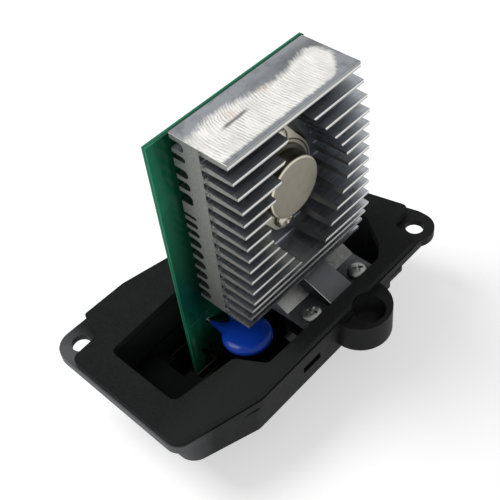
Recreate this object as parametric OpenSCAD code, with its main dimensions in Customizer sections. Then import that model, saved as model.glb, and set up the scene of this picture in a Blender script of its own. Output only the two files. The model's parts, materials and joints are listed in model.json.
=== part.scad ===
// Linear blower-speed module: a moulded flange housing with a foam seal, a finned heatsink that
// carries a TO-3 power transistor, and a circuit board that stands behind the heatsink.
// Origin: midway between the two ear holes, on the top face of the ears.
// +X runs along the heatsink extrusion, +Z up out of the housing, -Y is the transistor side.
// All sizes are in millimetres.

/* [Flange] */
// Distance from the origin to each ear hole along X
ear_x = 52; // [50:0.5:53]
// Distance from the origin to each ear hole along Y
ear_y = 25.7; // [24:0.1:26]
// Diameter of each ear hole
ear_hole_d = 6.2; // [4:0.1:7]
// Thickness of the flange plate
flange_t = 3.2; // [2.5:0.1:4]
// Thickness of the foam seal
gasket_t = 2.84; // [1.5:0.02:4]

/* [Housing] */
// Depth of the shallow tray below the ears
tray_depth = 14; // [13:0.5:16]
// Depth of the deep box below the ears
box_depth = 29.8; // [29.4:0.1:34]
// Thickness of the moulded walls and floors
wall = 2.3; // [1.8:0.1:2.4]
// Depth of the plug socket from its mouth
socket_depth = 13; // [10:0.5:14]

/* [Boss] */
// Radius of the round lug on the front wall
boss_r = 10.5; // [10:0.1:12]
// Radius of the pocket in the lug
boss_hole_r = 5.2; // [4:0.1:5.4]

/* [Heatsink] */
// Length of the extrusion
sink_len = 52; // [50:0.5:54]
// Height of the extrusion's top face above the ears
sink_top = 75.2; // [75:0.1:76]
// Distance from one fin to the next
fin_pitch = 4.54; // [4.5:0.01:4.56]
// Thickness of a fin at its tip
fin_tip_t = 1.0; // [0.8:0.1:1.4]
// Thickness of a fin at its root
fin_root_t = 2.1; // [1.6:0.1:2.4]
// Thickness of the web between the two sets of fins
web_t = 5.86; // [5.5:0.02:6]

/* [Transistor] */
// Height of the transistor's centre above the ears
can_z = 46.5; // [46:0.1:47]
// Radius of the round can
can_r = 10; // [9:0.1:11]
// Height of the can above its base
can_h = 5.9; // [5:0.1:7]

/* [Circuit board] */
// Thickness of the board
board_t = 1.6; // [1.2:0.1:1.8]
// Width of the board
board_w = 61.2; // [61:0.1:62]
// Height of the board
board_h = 100.2; // [100:0.1:101]

/* [Varistor] */
// Radius of the coated disc
disc_r = 8.2; // [6:0.1:8.6]
// Thickness of the coated disc
disc_t = 4.5; // [3.5:0.1:5]

/* [Hidden] */

// Facets on round surfaces, the step of rounded outlines in degrees, and the overrun of a cut
$fn = 48;
arc_step = 12;
eps = 0.05;
// Radial gap between a round piece and its hole
fit_gap = 0.03;

// Outside radius of the ears
ear_r = 6.7;

// Heights: floor of the tray, top of the foot pedestal, floor of the deep box
tray_floor = wall - tray_depth;
foot_t = 2.5;
foot_floor = -2.4;
pedestal_top = foot_floor - foot_t;
box_floor = wall - box_depth;

// Heatsink planes along Y, and its left end along X
web_front = -7.47;
web_back = web_front + web_t;
back_tip = 3.2;
sink_x0 = -19.15;
sink_x1 = sink_x0 + sink_len;
plate_t = 1.9;
last_fin = 14;
fin_base_z = sink_top - 1.45;

// Foot of the heatsink: its ends along X, its front, its block and its two screws
foot_x0 = -1.3;
foot_x1 = 31.6;
foot_front = -25;
foot_corner_r = 4;
foot_cut_z = 9.25;
block_x0 = 9.2;
block_x1 = 19.6;
ramp_y = -15.7;
ramp_slope = tan(24);
block_front_z = -0.35;
block_slope = tan(20);
foot_screw_x = [3.2, 26.2];
foot_screw_y = -22.1;
foot_screw_r = 1.9;
foot_insert_r = 3;
foot_insert_len = 7;

// Cores under the pedestal: their width, and where they start and end along Y
core_w = 14.6;
core_y = [-28, -15.6];

// Transistor: centre along X, planes along Y, screw and pin places
can_x = 6.8;
mica_t = 0.15;
mica_r = 14.6;
mica_end_r = 7;
base_r = 13.3;
base_end_r = 4.6;
brim_w = 1.3;
brim_t = 0.6;
base_back = web_front - mica_t;
base_t = 1.58;
base_front = base_back - base_t;
screw_dz = 15.08;
pin_dx = 5.46;
pin_z = can_z - 1.8;
pin_r = 0.5;
pin_end = 5;
pin_rise = 1.6;
sleeve_r = 1.9;
seal_r = 1.6;
die_w = 6;
die_t = 0.4;
bond_r = 0.25;
screw_r = 1.75;
washer_r = 3.5;
washer_t = 0.5;
screw_head_r = 3.3;
screw_head_h = 1.7;
screw_len = 20;
bush_r = 2.5;
bush_flange_t = 1;
spacer_r = 3.5;

// Circuit board: left edge, front and back faces, lower edge
board_x0 = -26.5;
board_x1 = board_x0 + board_w;
board_front = 4.16;
board_back = board_front + board_t;
board_z0 = -26.2;

// Deep box, inside faces, and its plug socket
box_in = [[-35.5, -12], [37, 14]];
box_wall = 2;
socket_y = [-6, 14];
socket_x0 = box_in[0][0] - box_wall - socket_depth;
blade_y = [-2, 10];
power_z = -23.45;
signal_z = -17;
blade_t = 0.8;
blade_leg_x = [-22.4, -19.4];
power_w = 6.3;
power_leg_w = 3.4;
signal_w = 2.8;
signal_leg_w = 2;
blade_gap = 0.05;
leg_gap = 0.1;
leg_reach = 0.7;

// Guides in the deep box that hold the board's edges
guide_t = 2;
board_gap = 0.1;
low_guide_x = [-9, -6];

// Ribs under the back rim: thickness, and places along X
back_rib_t = 1.6;
back_rib_x = [-42:10:28];

// Comb that locks the blades, from its low corner to its high one
carrier_box = [[box_in[0][0], -5.5, box_floor], [-31, 13.5, -14.8]];

// Lug on the front wall
boss_at = [15.5, -31.3];
boss_hole_at = [15.7, -35];
boss_top = -0.95;
boss_bottom = -11.8;
boss_floor = -9;
boss_ledge = boss_top - 1.3;

// Varistor: centre of the disc, and where its leads enter the board as [x, z]
disc_at = [-14.5, -10.2, -4.2];
disc_leads = [[-17.6, -5.2], [-10.9, -3.2]];

// Outlines in plan, counter-clockwise, each corner as [x, y, corner radius]
flange_path = [
  [-59.2, -24.9, 5], [-31, -32.2, 4], [59, -30.9, 5.5], [59, -22.5, 8],
  [48.3, 16.7, 8], [-28.5, 32.1, 4], [-59.2, 32.1, 6.7],
];
gasket_path = [
  [-58.8, -24.6, 4.8], [-31, -31.8, 4], [45.3, -30.7, 1.2], [46.6, -21.2, 1.5],
  [56.7, -20, 2.2], [48, 16.4, 7.8], [-28.5, 31.7, 4], [-44.9, 31.7, 1.2],
  [-47.6, 22.1, 1.5], [-58.8, 21.4, 2.8],
];
well_path = [
  [-48.7, -14, 2.5], [-26.8, -16.7, 2.2], [-21.4, -26, 2.2], [31.6, -25.9, 3],
  [36, -22.8, 4], [43.6, -12, 6], [43.6, 15.2, 9], [-20, 15.2, 20], [-48.7, 13.8, 2],
];
tray_path = [
  [-55, -24.3, 6], [-33, -31.6, 4], [29, -30.9, 2], [46, -13.5, 7],
  [46, 17.5, 11], [-55, 17.5, 4],
];
// The pedestal that carries the heatsink's foot
pedestal_path = [
  [-3.3, -27, 1], [33.6, -27, 1], [33.6, -12, 3], [-0.6, -12, 5], [-3.3, -18, 7],
];

// Board parts as [x, z] on the back of the board
chip_at = [-9, 22];
film_at = [20, 14];
electrolytic_at = [-11, 53];
electrolytic_y = board_back + 5.2;
electrolytic_z0 = electrolytic_at[1] - 6.3;
sense_at = [25, 58];
sense_span = 12;
resistor_at = [[-10, 68], [-10, 35], [22, 35], [22, 28]];
diode_at = [22, 42];
axial_pitch = 10;
resistor_r = 1.25;
resistor_len = 6.4;
diode_r = 1.4;
diode_len = 5.2;
lead_r = 0.35;
chip_leg_dx = [-3.81, -1.27, 1.27, 3.81];
chip_leg_dz = 3.81;
chip_half_w = 3.1;

// Places along Z where a film or electrolytic lead enters the board, as [x, z]
film_leads = [[film_at[0] - 5, film_at[1]], [film_at[0] + 5, film_at[1]]];
electrolytic_leads_at = [
  [electrolytic_at[0] - 2.5, electrolytic_at[1] - 8.2],
  [electrolytic_at[0] + 2.5, electrolytic_at[1] - 8.2],
];
resistor_ends = [for (r = resistor_at) for (s = [-1, 1]) [r[0] + s * axial_pitch / 2, r[1]]];
diode_ends = [for (s = [-1, 1]) [diode_at[0] + s * axial_pitch / 2, diode_at[1]]];
sense_ends = [for (s = [-1, 1]) [sense_at[0], sense_at[1] + s * sense_span / 2]];
chip_ends = [for (dx = chip_leg_dx) for (s = [-1, 1]) [chip_at[0] + dx, chip_at[1] + s * chip_leg_dz]];
thin_leads = concat(film_leads, electrolytic_leads_at, resistor_ends, diode_ends, chip_ends);

// ---- Outline helpers ----

function flat(c) = [c[0], c[1]];
function unit(v) = v / norm(v);
function cross2(a, b) = a[0] * b[1] - a[1] * b[0];
function right_of(d) = [d[1], -d[0]];

// Points of the arc that rounds corner c, between neighbours a and b
function corner_arc(a, c, b) =
  let (
    p = flat(c),
    u = unit(flat(a) - p),
    v = unit(flat(b) - p),
    half = acos(u * v) / 2,
    from = p + u * c[2] / tan(half),
    centre = p + unit(u + v) * c[2] / sin(half),
    start = atan2(from[1] - centre[1], from[0] - centre[0]),
    sweep = (cross2(u, v) < 0 ? 1 : -1) * (180 - 2 * half),
    steps = max(1, ceil(abs(sweep) / arc_step))
  )
  [for (i = [0:steps]) centre + c[2] * [cos(start + sweep * i / steps), sin(start + sweep * i / steps)]];

// Rounded outline through a closed list of corners
function rounded(path) =
  let (n = len(path))
  [for (i = [0:n - 1]) each corner_arc(path[(i + n - 1) % n], path[i], path[(i + 1) % n])];

// The same corners moved outwards by d, with radii that keep the wall even
function grown(path, d) =
  let (n = len(path))
  [for (i = [0:n - 1])
    let (
      p = flat(path[i]),
      u = unit(p - flat(path[(i + n - 1) % n])),
      v = unit(flat(path[(i + 1) % n]) - p),
      q = p + d * (right_of(u) + right_of(v)) / (1 + right_of(u) * right_of(v)),
      turn = cross2(u, v) > 0 ? 1 : -1
    )
    [q[0], q[1], max(path[i][2] + turn * d, 0.2)]];

// Diamond outline of a TO-3 base: a big circle with a small one at each end, joined by tangents
function diamond(big, small, reach) =
  let (lean = acos((big - small) / reach))
  concat(
    [for (a = [-(90 - lean):arc_step / 2:90 - lean]) big * [cos(a), sin(a)]],
    [for (a = [90 - lean:arc_step / 2:90 + lean]) [0, reach] + small * [cos(a), sin(a)]],
    [for (a = [90 + lean:arc_step / 2:270 - lean]) big * [cos(a), sin(a)]],
    [for (a = [270 - lean:arc_step / 2:270 + lean]) [0, -reach] + small * [cos(a), sin(a)]]
  );

// ---- Placing helpers ----

// Extrude an outline up from z0 to z1
module slab(path, z0, z1) {
  translate([0, 0, z0]) linear_extrude(z1 - z0) polygon(rounded(path));
}

// A box between two corners
module block(low, high) {
  translate(low) cube(high - low);
}

// The slots that the four blades pass through, from x0 to x1
module blade_slots(x0, x1) {
  half_t = blade_t / 2 + blade_gap;
  for (y = blade_y, b = [[power_z, power_w], [signal_z, signal_w]]) {
    half_w = b[1] / 2 + blade_gap;
    block([x0, y - half_t, b[0] - half_w], [x1, y + half_t, b[0] + half_w]);
  }
}

// A rod or disc along Y, from y0 to y1, centred on x and z
module along_y(x, z, y0, y1, r, sides = $fn) {
  translate([x, y0, z]) rotate([-90, 0, 0]) cylinder(h = y1 - y0, r = r, $fn = sides);
}

// A tube along Y
module tube_y(x, z, y0, y1, r_out, r_in) {
  difference() {
    along_y(x, z, y0, y1, r_out);
    along_y(x, z, y0 - eps, y1 + eps, r_in);
  }
}

// An outline in X and Z, extruded from y0 forwards to y1
module plate_y(points, x, z, y0, y1) {
  translate([x, y1, z]) rotate([90, 0, 0]) linear_extrude(y1 - y0) polygon(points);
}

// ---- Housing ----

// Where a wall of the hollow under the front-left rim stands, along Y, for a given x
function rim_front_y(x) = -24.3 - 0.332 * (x + 55) + wall;
function rim_back_y(x) = -14 - 0.123 * (x + 48.7) - wall;

// One cored-out cell under the front-left rim
module rim_cell(x0, x1) {
  translate([0, 0, -tray_depth - 1]) linear_extrude(tray_depth + 1 - flange_t) polygon([
    [x0, rim_front_y(x0)], [x1, rim_front_y(x1)], [x1, rim_back_y(x1)], [x0, rim_back_y(x0)],
  ]);
}

// Stiffening rib under the overhanging back rim
module back_rib(x, reach) {
  root_y = 17;
  top = -flange_t + eps;
  translate([x - back_rib_t / 2, 0, 0]) rotate([90, 0, 90]) linear_extrude(back_rib_t)
    polygon([[root_y, top], [root_y, -tray_depth + 2], [reach, -flange_t - 1.2], [reach, top]]);
}

module housing_outside() {
  slab(flange_path, -flange_t, 0);
  for (s = [-1, 1])
    translate([s * (ear_x + 0.3), -s * (ear_y - 0.3), -flange_t]) cylinder(h = flange_t, r = ear_r);
  slab(tray_path, -tray_depth, -flange_t + eps);
  slab(grown(tray_path, 0.4), -flange_t - 2, -flange_t + eps);
  // stepped rim between the lug and the right ear
  block([24, -31.4, -flange_t - 2], [37.6, -28.6, -flange_t + eps]);
  block([24, -31.4, -flange_t - 4.6], [31.3, -28.6, -flange_t - 1]);
  // deep box and plug socket
  block(
    [box_in[0][0] - box_wall, box_in[0][1] - box_wall, -box_depth],
    [box_in[1][0] + box_wall, box_in[1][1] + box_wall, -tray_depth + eps]
  );
  block([socket_x0, socket_y[0] - 1.8, -box_depth], [box_in[0][0] - 1, socket_y[1] + 1.8, -tray_depth + eps]);
  // lug
  translate([boss_at[0], boss_at[1], boss_bottom]) cylinder(h = boss_top - boss_bottom, r = boss_r);
  for (x = back_rib_x) back_rib(x, min(30.5, 30.5 - 0.2 * (x + 28)));
}

module housing_cavity() {
  difference() {
    union() {
      slab(well_path, tray_floor, 1);
      block([box_in[0][0], box_in[0][1], box_floor], [box_in[1][0], box_in[1][1], tray_floor + 1]);
    }
    slab(pedestal_path, -tray_depth, pedestal_top);
    // guides for the board's right edge and lower edge
    for (y = [
      [board_front - guide_t, board_front - board_gap],
      [board_back + board_gap, board_back + guide_t],
    ]) {
      block([board_x1 - 1.3, y[0], box_floor - 1], [box_in[1][0] + 1, y[1], tray_floor]);
      block([low_guide_x[0], y[0], box_floor - 1], [low_guide_x[1], y[1], board_z0 + 2.7]);
    }
  }
}

module housing() color("#1b1b1c") difference() {
  housing_outside();
  housing_cavity();
  for (s = [-1, 1]) translate([s * ear_x, -s * ear_y, -flange_t]) {
    translate([0, 0, -1]) cylinder(h = flange_t + 2, d = ear_hole_d);
    translate([0, 0, -eps]) cylinder(h = 1, r1 = ear_hole_d / 2 + 1, r2 = ear_hole_d / 2);
  }
  // blind pocket in the lug, and the shallow ledge beside it
  translate([boss_hole_at[0], boss_hole_at[1], boss_floor]) cylinder(h = 1 - boss_floor, r = boss_hole_r);
  intersection() {
    translate([boss_at[0], boss_at[1], boss_ledge]) cylinder(h = 3, r = boss_r - 1.5);
    block([0, -40, boss_ledge], [boss_hole_at[0] - 2, boss_at[1] - 0.8, 1]);
  }
  // slot in the front wall
  block([-12, -33, -8.8], [-4, -29.9, -5.2]);
  for (c = [[-51.5, -43.6], [-42, -34.6], [-33, -27.5]]) rim_cell(c[0], c[1]);
  // inside of the plug socket, and slots for its blades
  block([socket_x0 - 1, socket_y[0], 1.8 - box_depth], [box_in[0][0] - box_wall, socket_y[1], -tray_depth]);
  blade_slots(box_in[0][0] - 3, box_in[0][0] + 1);
  // cores under the pedestal, and the holes for its threaded inserts
  difference() {
    for (x = foot_screw_x)
      block([x - core_w / 2, core_y[0], -tray_depth - 1], [x + core_w / 2, core_y[1], pedestal_top - wall]);
    for (x = foot_screw_x) {
      translate([x, foot_screw_y, -tray_depth - 2]) cylinder(h = tray_depth, r = foot_insert_r + 2);
      block([x - 0.9, core_y[0] - 1, -tray_depth - 2], [x + 0.9, core_y[1] + 1, 0]);
    }
  }
  for (x = foot_screw_x)
    translate([x, foot_screw_y, -tray_depth - 1]) cylinder(h = tray_depth, r = foot_insert_r + fit_gap);
}

module flange_gasket() color("#2f3130") difference() {
  slab(gasket_path, 0, gasket_t);
  slab(grown(well_path, 0.25), -1, gasket_t + 1);
  translate([boss_hole_at[0], boss_hole_at[1], -1]) cylinder(h = gasket_t + 2, r = boss_hole_r + 0.4);
}

// ---- Heatsink ----

function fin_z(i) = fin_base_z - fin_pitch * i;
// Tips of the front fins: three short at the top, three shorter at the bottom
function fin_tip(i) =
  i < 3 ? -17.6 - 1.2 * i
  : i > last_fin - 3 ? -20.9 + 1.25 * (i - last_fin + 3)
  : -20.9;

// One front fin, walked from its top root to its bottom root
function front_fin(i) = [
  [web_front, fin_z(i) + fin_root_t / 2 + 0.35], [web_front - 0.4, fin_z(i) + fin_root_t / 2],
  [fin_tip(i), fin_z(i) + fin_tip_t / 2], [fin_tip(i), fin_z(i) - fin_tip_t / 2],
  [web_front - 0.4, fin_z(i) - fin_root_t / 2], [web_front, fin_z(i) - fin_root_t / 2 - 0.35],
];

// Back fins as [height, thickness]: one thick, and one block behind the transistor
back_fins = concat(
  [for (i = [last_fin:-1:8]) [fin_z(i), 1.6]],
  [[41.1, 1.6], [44.6, 1.6], [48.8, 4.4], [55.6, 1.6], [60.1, 1.6], [65.2, 2.8], [69.4, 1.6],
   [sink_top - plate_t / 2, plate_t]]
);

// The rounded end of the slot between back fins a and b, walked upwards
function back_slot(a, b) =
  let (low = a[0] + a[1] / 2, high = b[0] - b[1] / 2, r = min((high - low) / 2, 1.4))
  concat(
    [[back_tip, low]],
    [for (t = [-90:30:0]) [web_back + r - r * cos(t), low + r + r * sin(t)]],
    [for (t = [0:30:90]) [web_back + r - r * cos(t), high - r + r * sin(t)]],
    [[back_tip, high]]
  );

// Section of the extrusion in Y and Z, counter-clockwise from the top front corner
sink_section = concat(
  [[fin_tip(0), sink_top], [fin_tip(0), sink_top - plate_t],
   [web_front - 0.4, sink_top - plate_t - 0.15], [web_front, sink_top - plate_t - 0.5]],
  [for (i = [1:last_fin]) each front_fin(i)],
  [[web_front, block_front_z + block_slope * (web_front - foot_front)],
   [foot_front, block_front_z], [foot_front, pedestal_top], [web_back, pedestal_top],
   [web_back, fin_z(last_fin) - 0.8], [back_tip, fin_z(last_fin) - 0.8]],
  [for (k = [0:len(back_fins) - 2]) each back_slot(back_fins[k], back_fins[k + 1])],
  [[back_tip, sink_top]]
);

// What is milled off the foot beside its block, from the screw pocket up its ramp
module foot_pocket(x0, x1) {
  translate([x0, 0, 0]) rotate([90, 0, 90]) linear_extrude(x1 - x0) polygon([
    [foot_front - 1, foot_floor], [ramp_y, foot_floor],
    [web_front, foot_floor + ramp_slope * (web_front - ramp_y)],
    [web_front, 8], [foot_front - 1, 8],
  ]);
}

module heatsink() color("#8d9094") difference() {
  translate([sink_x0, 0, 0]) rotate([90, 0, 90]) linear_extrude(sink_len) polygon(sink_section);
  // opening milled through the front fins for the transistor
  plate_y(diamond(16.5, 7.1, 18.1), can_x, can_z, -30, web_front);
  // left third of the foot, and its right end
  block([sink_x0 - 1, -30, -10], [foot_x0, 10, foot_cut_z]);
  block([foot_x1, -30, -10], [sink_x1 + 1, web_front, foot_cut_z]);
  foot_pocket(foot_x0 - 1, block_x0);
  foot_pocket(block_x1, foot_x1 + 1);
  // rounded front left corner of the foot
  difference() {
    block([foot_x0 - 1, foot_front - 1, -10], [foot_x0 + foot_corner_r, foot_front + foot_corner_r, 0]);
    translate([foot_x0 + foot_corner_r, foot_front + foot_corner_r, -11]) cylinder(h = 12, r = foot_corner_r);
  }
  for (x = foot_screw_x)
    translate([x, foot_screw_y, -10]) cylinder(h = 20, r = foot_screw_r + 0.3);
  // screw holes with spot faces between the back fins, and pin holes
  for (s = [-1, 1]) {
    along_y(can_x, can_z + s * screw_dz, web_front - 1, web_back + 1, bush_r + fit_gap);
    along_y(can_x, can_z + s * screw_dz, web_back, back_tip + 1, spacer_r + 0.7);
    along_y(can_x + s * pin_dx, pin_z, web_front - 1, back_tip + 1, sleeve_r);
  }
}

// Pan-head cross-recess screw along +Z, head up, with its head's underside at the origin
module pan_screw(head_r, head_h, r, length) {
  difference() {
    union() {
      rotate_extrude() polygon([
        [0, 0], [head_r, 0], [head_r, head_h * 0.35], [head_r * 0.9, head_h * 0.68],
        [head_r * 0.66, head_h * 0.92], [head_r * 0.35, head_h], [0, head_h],
      ]);
      translate([0, 0, -length]) cylinder(h = length + eps, r = r);
    }
    for (a = [0, 90]) rotate([0, 0, a + 20])
      translate([-head_r * 0.55, -0.4, head_h * 0.35]) cube([head_r * 1.1, 0.8, head_h]);
  }
}

module foot_screws() color("#b9bab6") for (x = foot_screw_x)
  translate([x, foot_screw_y, foot_floor]) pan_screw(3.5, 2.4, foot_screw_r, 9.5);

module foot_inserts() color("#b08d3c") for (x = foot_screw_x)
  translate([x, foot_screw_y, 0]) difference() {
    translate([0, 0, pedestal_top - foot_insert_len]) cylinder(h = foot_insert_len, r = foot_insert_r);
    translate([0, 0, -tray_depth - 1]) cylinder(h = 20, r = foot_screw_r + fit_gap);
  }

// ---- Transistor and what mounts it ----

module base_holes(gap) {
  for (s = [-1, 1]) {
    along_y(can_x, can_z + s * screw_dz, -12, 0, 2.05);
    along_y(can_x + s * pin_dx, pin_z, -12, 0, seal_r + gap);
  }
}

module mica_insulator() color("#c9c3ac") difference() {
  plate_y(diamond(mica_r, mica_end_r, screw_dz), can_x, can_z, base_back, web_front);
  base_holes(0.1);
}

module transistor_base() color("#a89f90") difference() {
  plate_y(diamond(base_r, base_end_r, screw_dz), can_x, can_z, base_front, base_back);
  base_holes(fit_gap);
}

// Drawn cap: open at the base, rounded at its top edge
module transistor_can() color("#b5ab9a") translate([can_x, base_front, can_z]) rotate([90, 0, 0])
  rotate_extrude($fn = 64) polygon(concat(
    [[can_r - 0.6, 0], [can_r + brim_w, 0], [can_r + brim_w, brim_t], [can_r, brim_t + 0.2]],
    [for (a = [0:15:90]) [can_r - 0.8 + 0.8 * cos(a), can_h - 0.8 + 0.8 * sin(a)]],
    [[0, can_h], [0, can_h - 0.6], [can_r - 0.6, can_h - 0.6]]
  ));

module transistor_pins() color("#b8b09c") for (s = [-1, 1])
  along_y(can_x + s * pin_dx, pin_z, base_front - pin_rise, pin_end, pin_r);

module pin_glass_seals() color("#3d5a52") for (s = [-1, 1])
  tube_y(can_x + s * pin_dx, pin_z, base_front, base_back, seal_r, pin_r + 0.01);

module transistor_die() color("#5c6068")
  translate([can_x - die_w / 2, base_front - die_t, can_z - 0.2]) cube([die_w, die_t, die_w]);

// Each wire drops from the top of a pin and lies over to the chip
module bond_wires() color("#c8c8c4") for (s = [-1, 1]) {
  wire_y = base_front - pin_rise - bond_r;
  along_y(can_x + s * 2, can_z + 2, wire_y, base_front - die_t, bond_r, 16);
  translate([can_x + s * pin_dx, wire_y, pin_z]) {
    run = [-s * (pin_dx - 2), 0, can_z + 2 - pin_z];
    rotate([0, atan2(run[0], run[2]), 0]) cylinder(h = norm(run), r = bond_r, $fn = 16);
  }
}

module pin_sleeves() color("#e8e4d8") for (s = [-1, 1])
  tube_y(can_x + s * pin_dx, pin_z, web_front, back_tip, sleeve_r - fit_gap, pin_r + fit_gap);

// Screws enter from the front and reach through the board
module transistor_screws() color("#8c8a84") for (s = [-1, 1])
  translate([can_x, base_front - washer_t, can_z + s * screw_dz]) rotate([90, 0, 0])
    pan_screw(screw_head_r, screw_head_h, screw_r, screw_len);

module transistor_washers() color("#a9a69c") for (s = [-1, 1])
  tube_y(can_x, can_z + s * screw_dz, base_front - washer_t, base_front, washer_r, screw_r + 0.1);

module insulating_bushes() color("#d9d4c4") for (s = [-1, 1]) difference() {
  union() {
    along_y(can_x, can_z + s * screw_dz, web_front, web_back, bush_r);
    along_y(can_x, can_z + s * screw_dz, web_back, web_back + bush_flange_t, spacer_r);
  }
  along_y(can_x, can_z + s * screw_dz, web_front - 1, web_back + 2, screw_r + fit_gap);
}

module board_spacers() color("#c9c6ba") for (s = [-1, 1])
  tube_y(can_x, can_z + s * screw_dz, web_back + bush_flange_t, board_front, spacer_r, screw_r + fit_gap);

module transistor_nuts() color("#a6a6a2") for (s = [-1, 1]) difference() {
  union() {
    along_y(can_x, can_z + s * screw_dz, board_back, board_back + 0.7, 3.9);
    along_y(can_x, can_z + s * screw_dz, board_back + 0.7, board_back + 3, 3.3, 6);
  }
  along_y(can_x, can_z + s * screw_dz, board_back - 1, board_back + 4, screw_r + fit_gap);
}

// ---- Circuit board and its parts ----

module circuit_board() color("#0f6b43") difference() {
  block([board_x0, board_front, board_z0], [board_x1, board_back, board_z0 + board_h]);
  for (s = [-1, 1]) {
    along_y(can_x, can_z + s * screw_dz, 0, 9, screw_r + 0.1);
    along_y(can_x + s * pin_dx, pin_z, 0, 9, 0.9);
  }
  for (p = thin_leads) along_y(p[0], p[1], 0, 9, lead_r + 0.1, 24);
  for (p = disc_leads) along_y(p[0], p[1], 0, 9, 0.5, 24);
  for (p = sense_ends) along_y(p[0], p[1], 0, 9, 0.9, 24);
  for (x = blade_leg_x, b = [[power_z, power_leg_w], [signal_z, signal_leg_w]]) {
    half_w = b[1] / 2 + leg_gap;
    block([x - leg_gap, 0, b[0] - half_w], [x + blade_t + leg_gap, 9, b[0] + half_w]);
  }
}

module varistor_disc() color("#1238b0") translate(disc_at) rotate_extrude() polygon(concat(
  [for (a = [-90:15:90]) [disc_r - disc_t / 2 + disc_t / 2 * cos(a), disc_t / 2 * sin(a)]],
  [[0, disc_t / 2], [0, -disc_t / 2]]
));

// The leads leave the rim of the disc and pass through the board
module varistor_leads() color("#b9bbbd") difference() {
  for (p = disc_leads) along_y(p[0], p[1], disc_at[1] + 6, board_back + 1, 0.4, 24);
  translate([disc_at[0], disc_at[1], -10]) cylinder(h = 10, r = disc_r + 0.02, $fn = 96);
}

module control_chip() color("#202124")
  translate([chip_at[0] - 4.9, board_back + 0.5, chip_at[1] - chip_half_w]) cube([9.8, 3.4, 2 * chip_half_w]);

// Legs of the chip: out of its sides, then down through the board
module chip_legs() color("#b9bbbd") for (p = chip_ends) {
  s = p[1] > chip_at[1] ? 1 : -1;
  inner = chip_at[1] + s * chip_half_w;
  outer = p[1] + s * 0.2;
  translate([p[0] - 0.25, board_back + 2.2, min(inner, outer)]) cube([0.5, 0.3, abs(outer - inner)]);
  block([p[0] - 0.25, board_front - 0.6, p[1] - 0.15], [p[0] + 0.25, board_back + 2.5, p[1] + 0.15]);
}

// Bent resistance wire that senses the motor current
module sense_wire() color("#9a7b58") {
  for (p = sense_ends) along_y(p[0], p[1], board_front - 0.8, board_back + 2, 0.75, 24);
  translate([sense_at[0], board_back + 2, sense_at[1]]) rotate([0, -90, 0]) rotate_extrude(angle = 180)
    translate([sense_span / 2, 0]) circle(r = 0.75, $fn = 24);
}

module film_capacitor() color("#9c3a22")
  translate([film_at[0] - 6.5, board_back + 0.4, film_at[1] - 2.5]) cube([13, 8, 5]);

module film_capacitor_leads() color("#b9bbbd") for (p = film_leads)
  along_y(p[0], p[1], board_front - 0.8, board_back + 0.4, lead_r, 24);

// Can that lies on the board with its axis along Z
module electrolytic_capacitor() color("#23262e")
  translate([electrolytic_at[0], electrolytic_y, electrolytic_z0]) rotate_extrude() polygon([
    [0, 0], [4.6, 0], [5, 0.4], [5, 1.4], [4.75, 1.8], [5, 2.2], [5, 12.2], [4.6, 12.6], [0, 12.6],
  ]);

module electrolytic_leads() color("#b9bbbd") for (p = electrolytic_leads_at) {
  along_y(p[0], p[1], board_front - 0.8, electrolytic_y, lead_r, 24);
  translate([p[0], electrolytic_y, p[1]]) sphere(r = lead_r, $fn = 24);
  translate([p[0], electrolytic_y, p[1]]) cylinder(h = electrolytic_z0 - p[1], r = lead_r, $fn = 24);
}

// A small axial body between its two leads, along X
module axial_body(at, r, length) {
  translate([at[0] - length / 2, board_back + r + 0.2, at[1]]) rotate([0, 90, 0]) rotate_extrude() polygon([
    [0, 0], [r * 0.7, 0], [r, r * 0.4], [r, length * 0.22], [r * 0.85, length * 0.27],
    [r * 0.85, length * 0.73], [r, length * 0.78], [r, length - r * 0.4], [r * 0.7, length], [0, length],
  ]);
}

// Bent leads of an axial part whose body has radius r
module axial_leads(at, r, length) {
  y = board_back + r + 0.2;
  for (s = [-1, 1]) {
    x = at[0] + s * axial_pitch / 2;
    along_y(x, at[1], board_front - 0.8, y, lead_r, 24);
    translate([x, y, at[1]]) sphere(r = lead_r, $fn = 24);
    translate([s > 0 ? at[0] + length / 2 : x, y, at[1]]) rotate([0, 90, 0])
      cylinder(h = (axial_pitch - length) / 2, r = lead_r, $fn = 24);
  }
}

module resistors() color("#c6ad84") for (p = resistor_at) axial_body(p, resistor_r, resistor_len);

module resistor_leads() color("#b9bbbd") for (p = resistor_at) axial_leads(p, resistor_r, resistor_len);

module diode() color("#1f1f22") axial_body(diode_at, diode_r, diode_len);

module diode_leads() color("#b9bbbd") axial_leads(diode_at, diode_r, diode_len);

// Solder cone around a lead on the front face of the board
module front_joint(p, r, wide) {
  difference() {
    translate([p[0], board_front, p[1]]) rotate([90, 0, 0])
      cylinder(h = 0.7, r1 = wide, r2 = r + 0.15, $fn = 24);
    along_y(p[0], p[1], board_front - 2, board_front + 1, r + 0.01, 24);
  }
}

// Solder dome that closes a transistor pin's hole on the back of the board
module pin_joint(x) {
  difference() {
    union() {
      translate([x, board_back, pin_z]) rotate([-90, 0, 0]) cylinder(h = 0.9, r1 = 1.8, r2 = 0.7, $fn = 24);
      along_y(x, pin_z, board_front + 0.2, board_back + eps, 0.88, 24);
    }
    along_y(x, pin_z, board_front - 1, pin_end, pin_r + 0.01, 24);
  }
}

module solder_joints() color("#c9cbcc") {
  for (p = concat(film_leads, electrolytic_leads_at, resistor_ends, diode_ends))
    front_joint(p, lead_r, 0.95);
  for (p = sense_ends) front_joint(p, 0.75, 1.6);
  for (s = [-1, 1]) pin_joint(can_x + s * pin_dx);
}

// ---- Plug terminals ----

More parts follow.
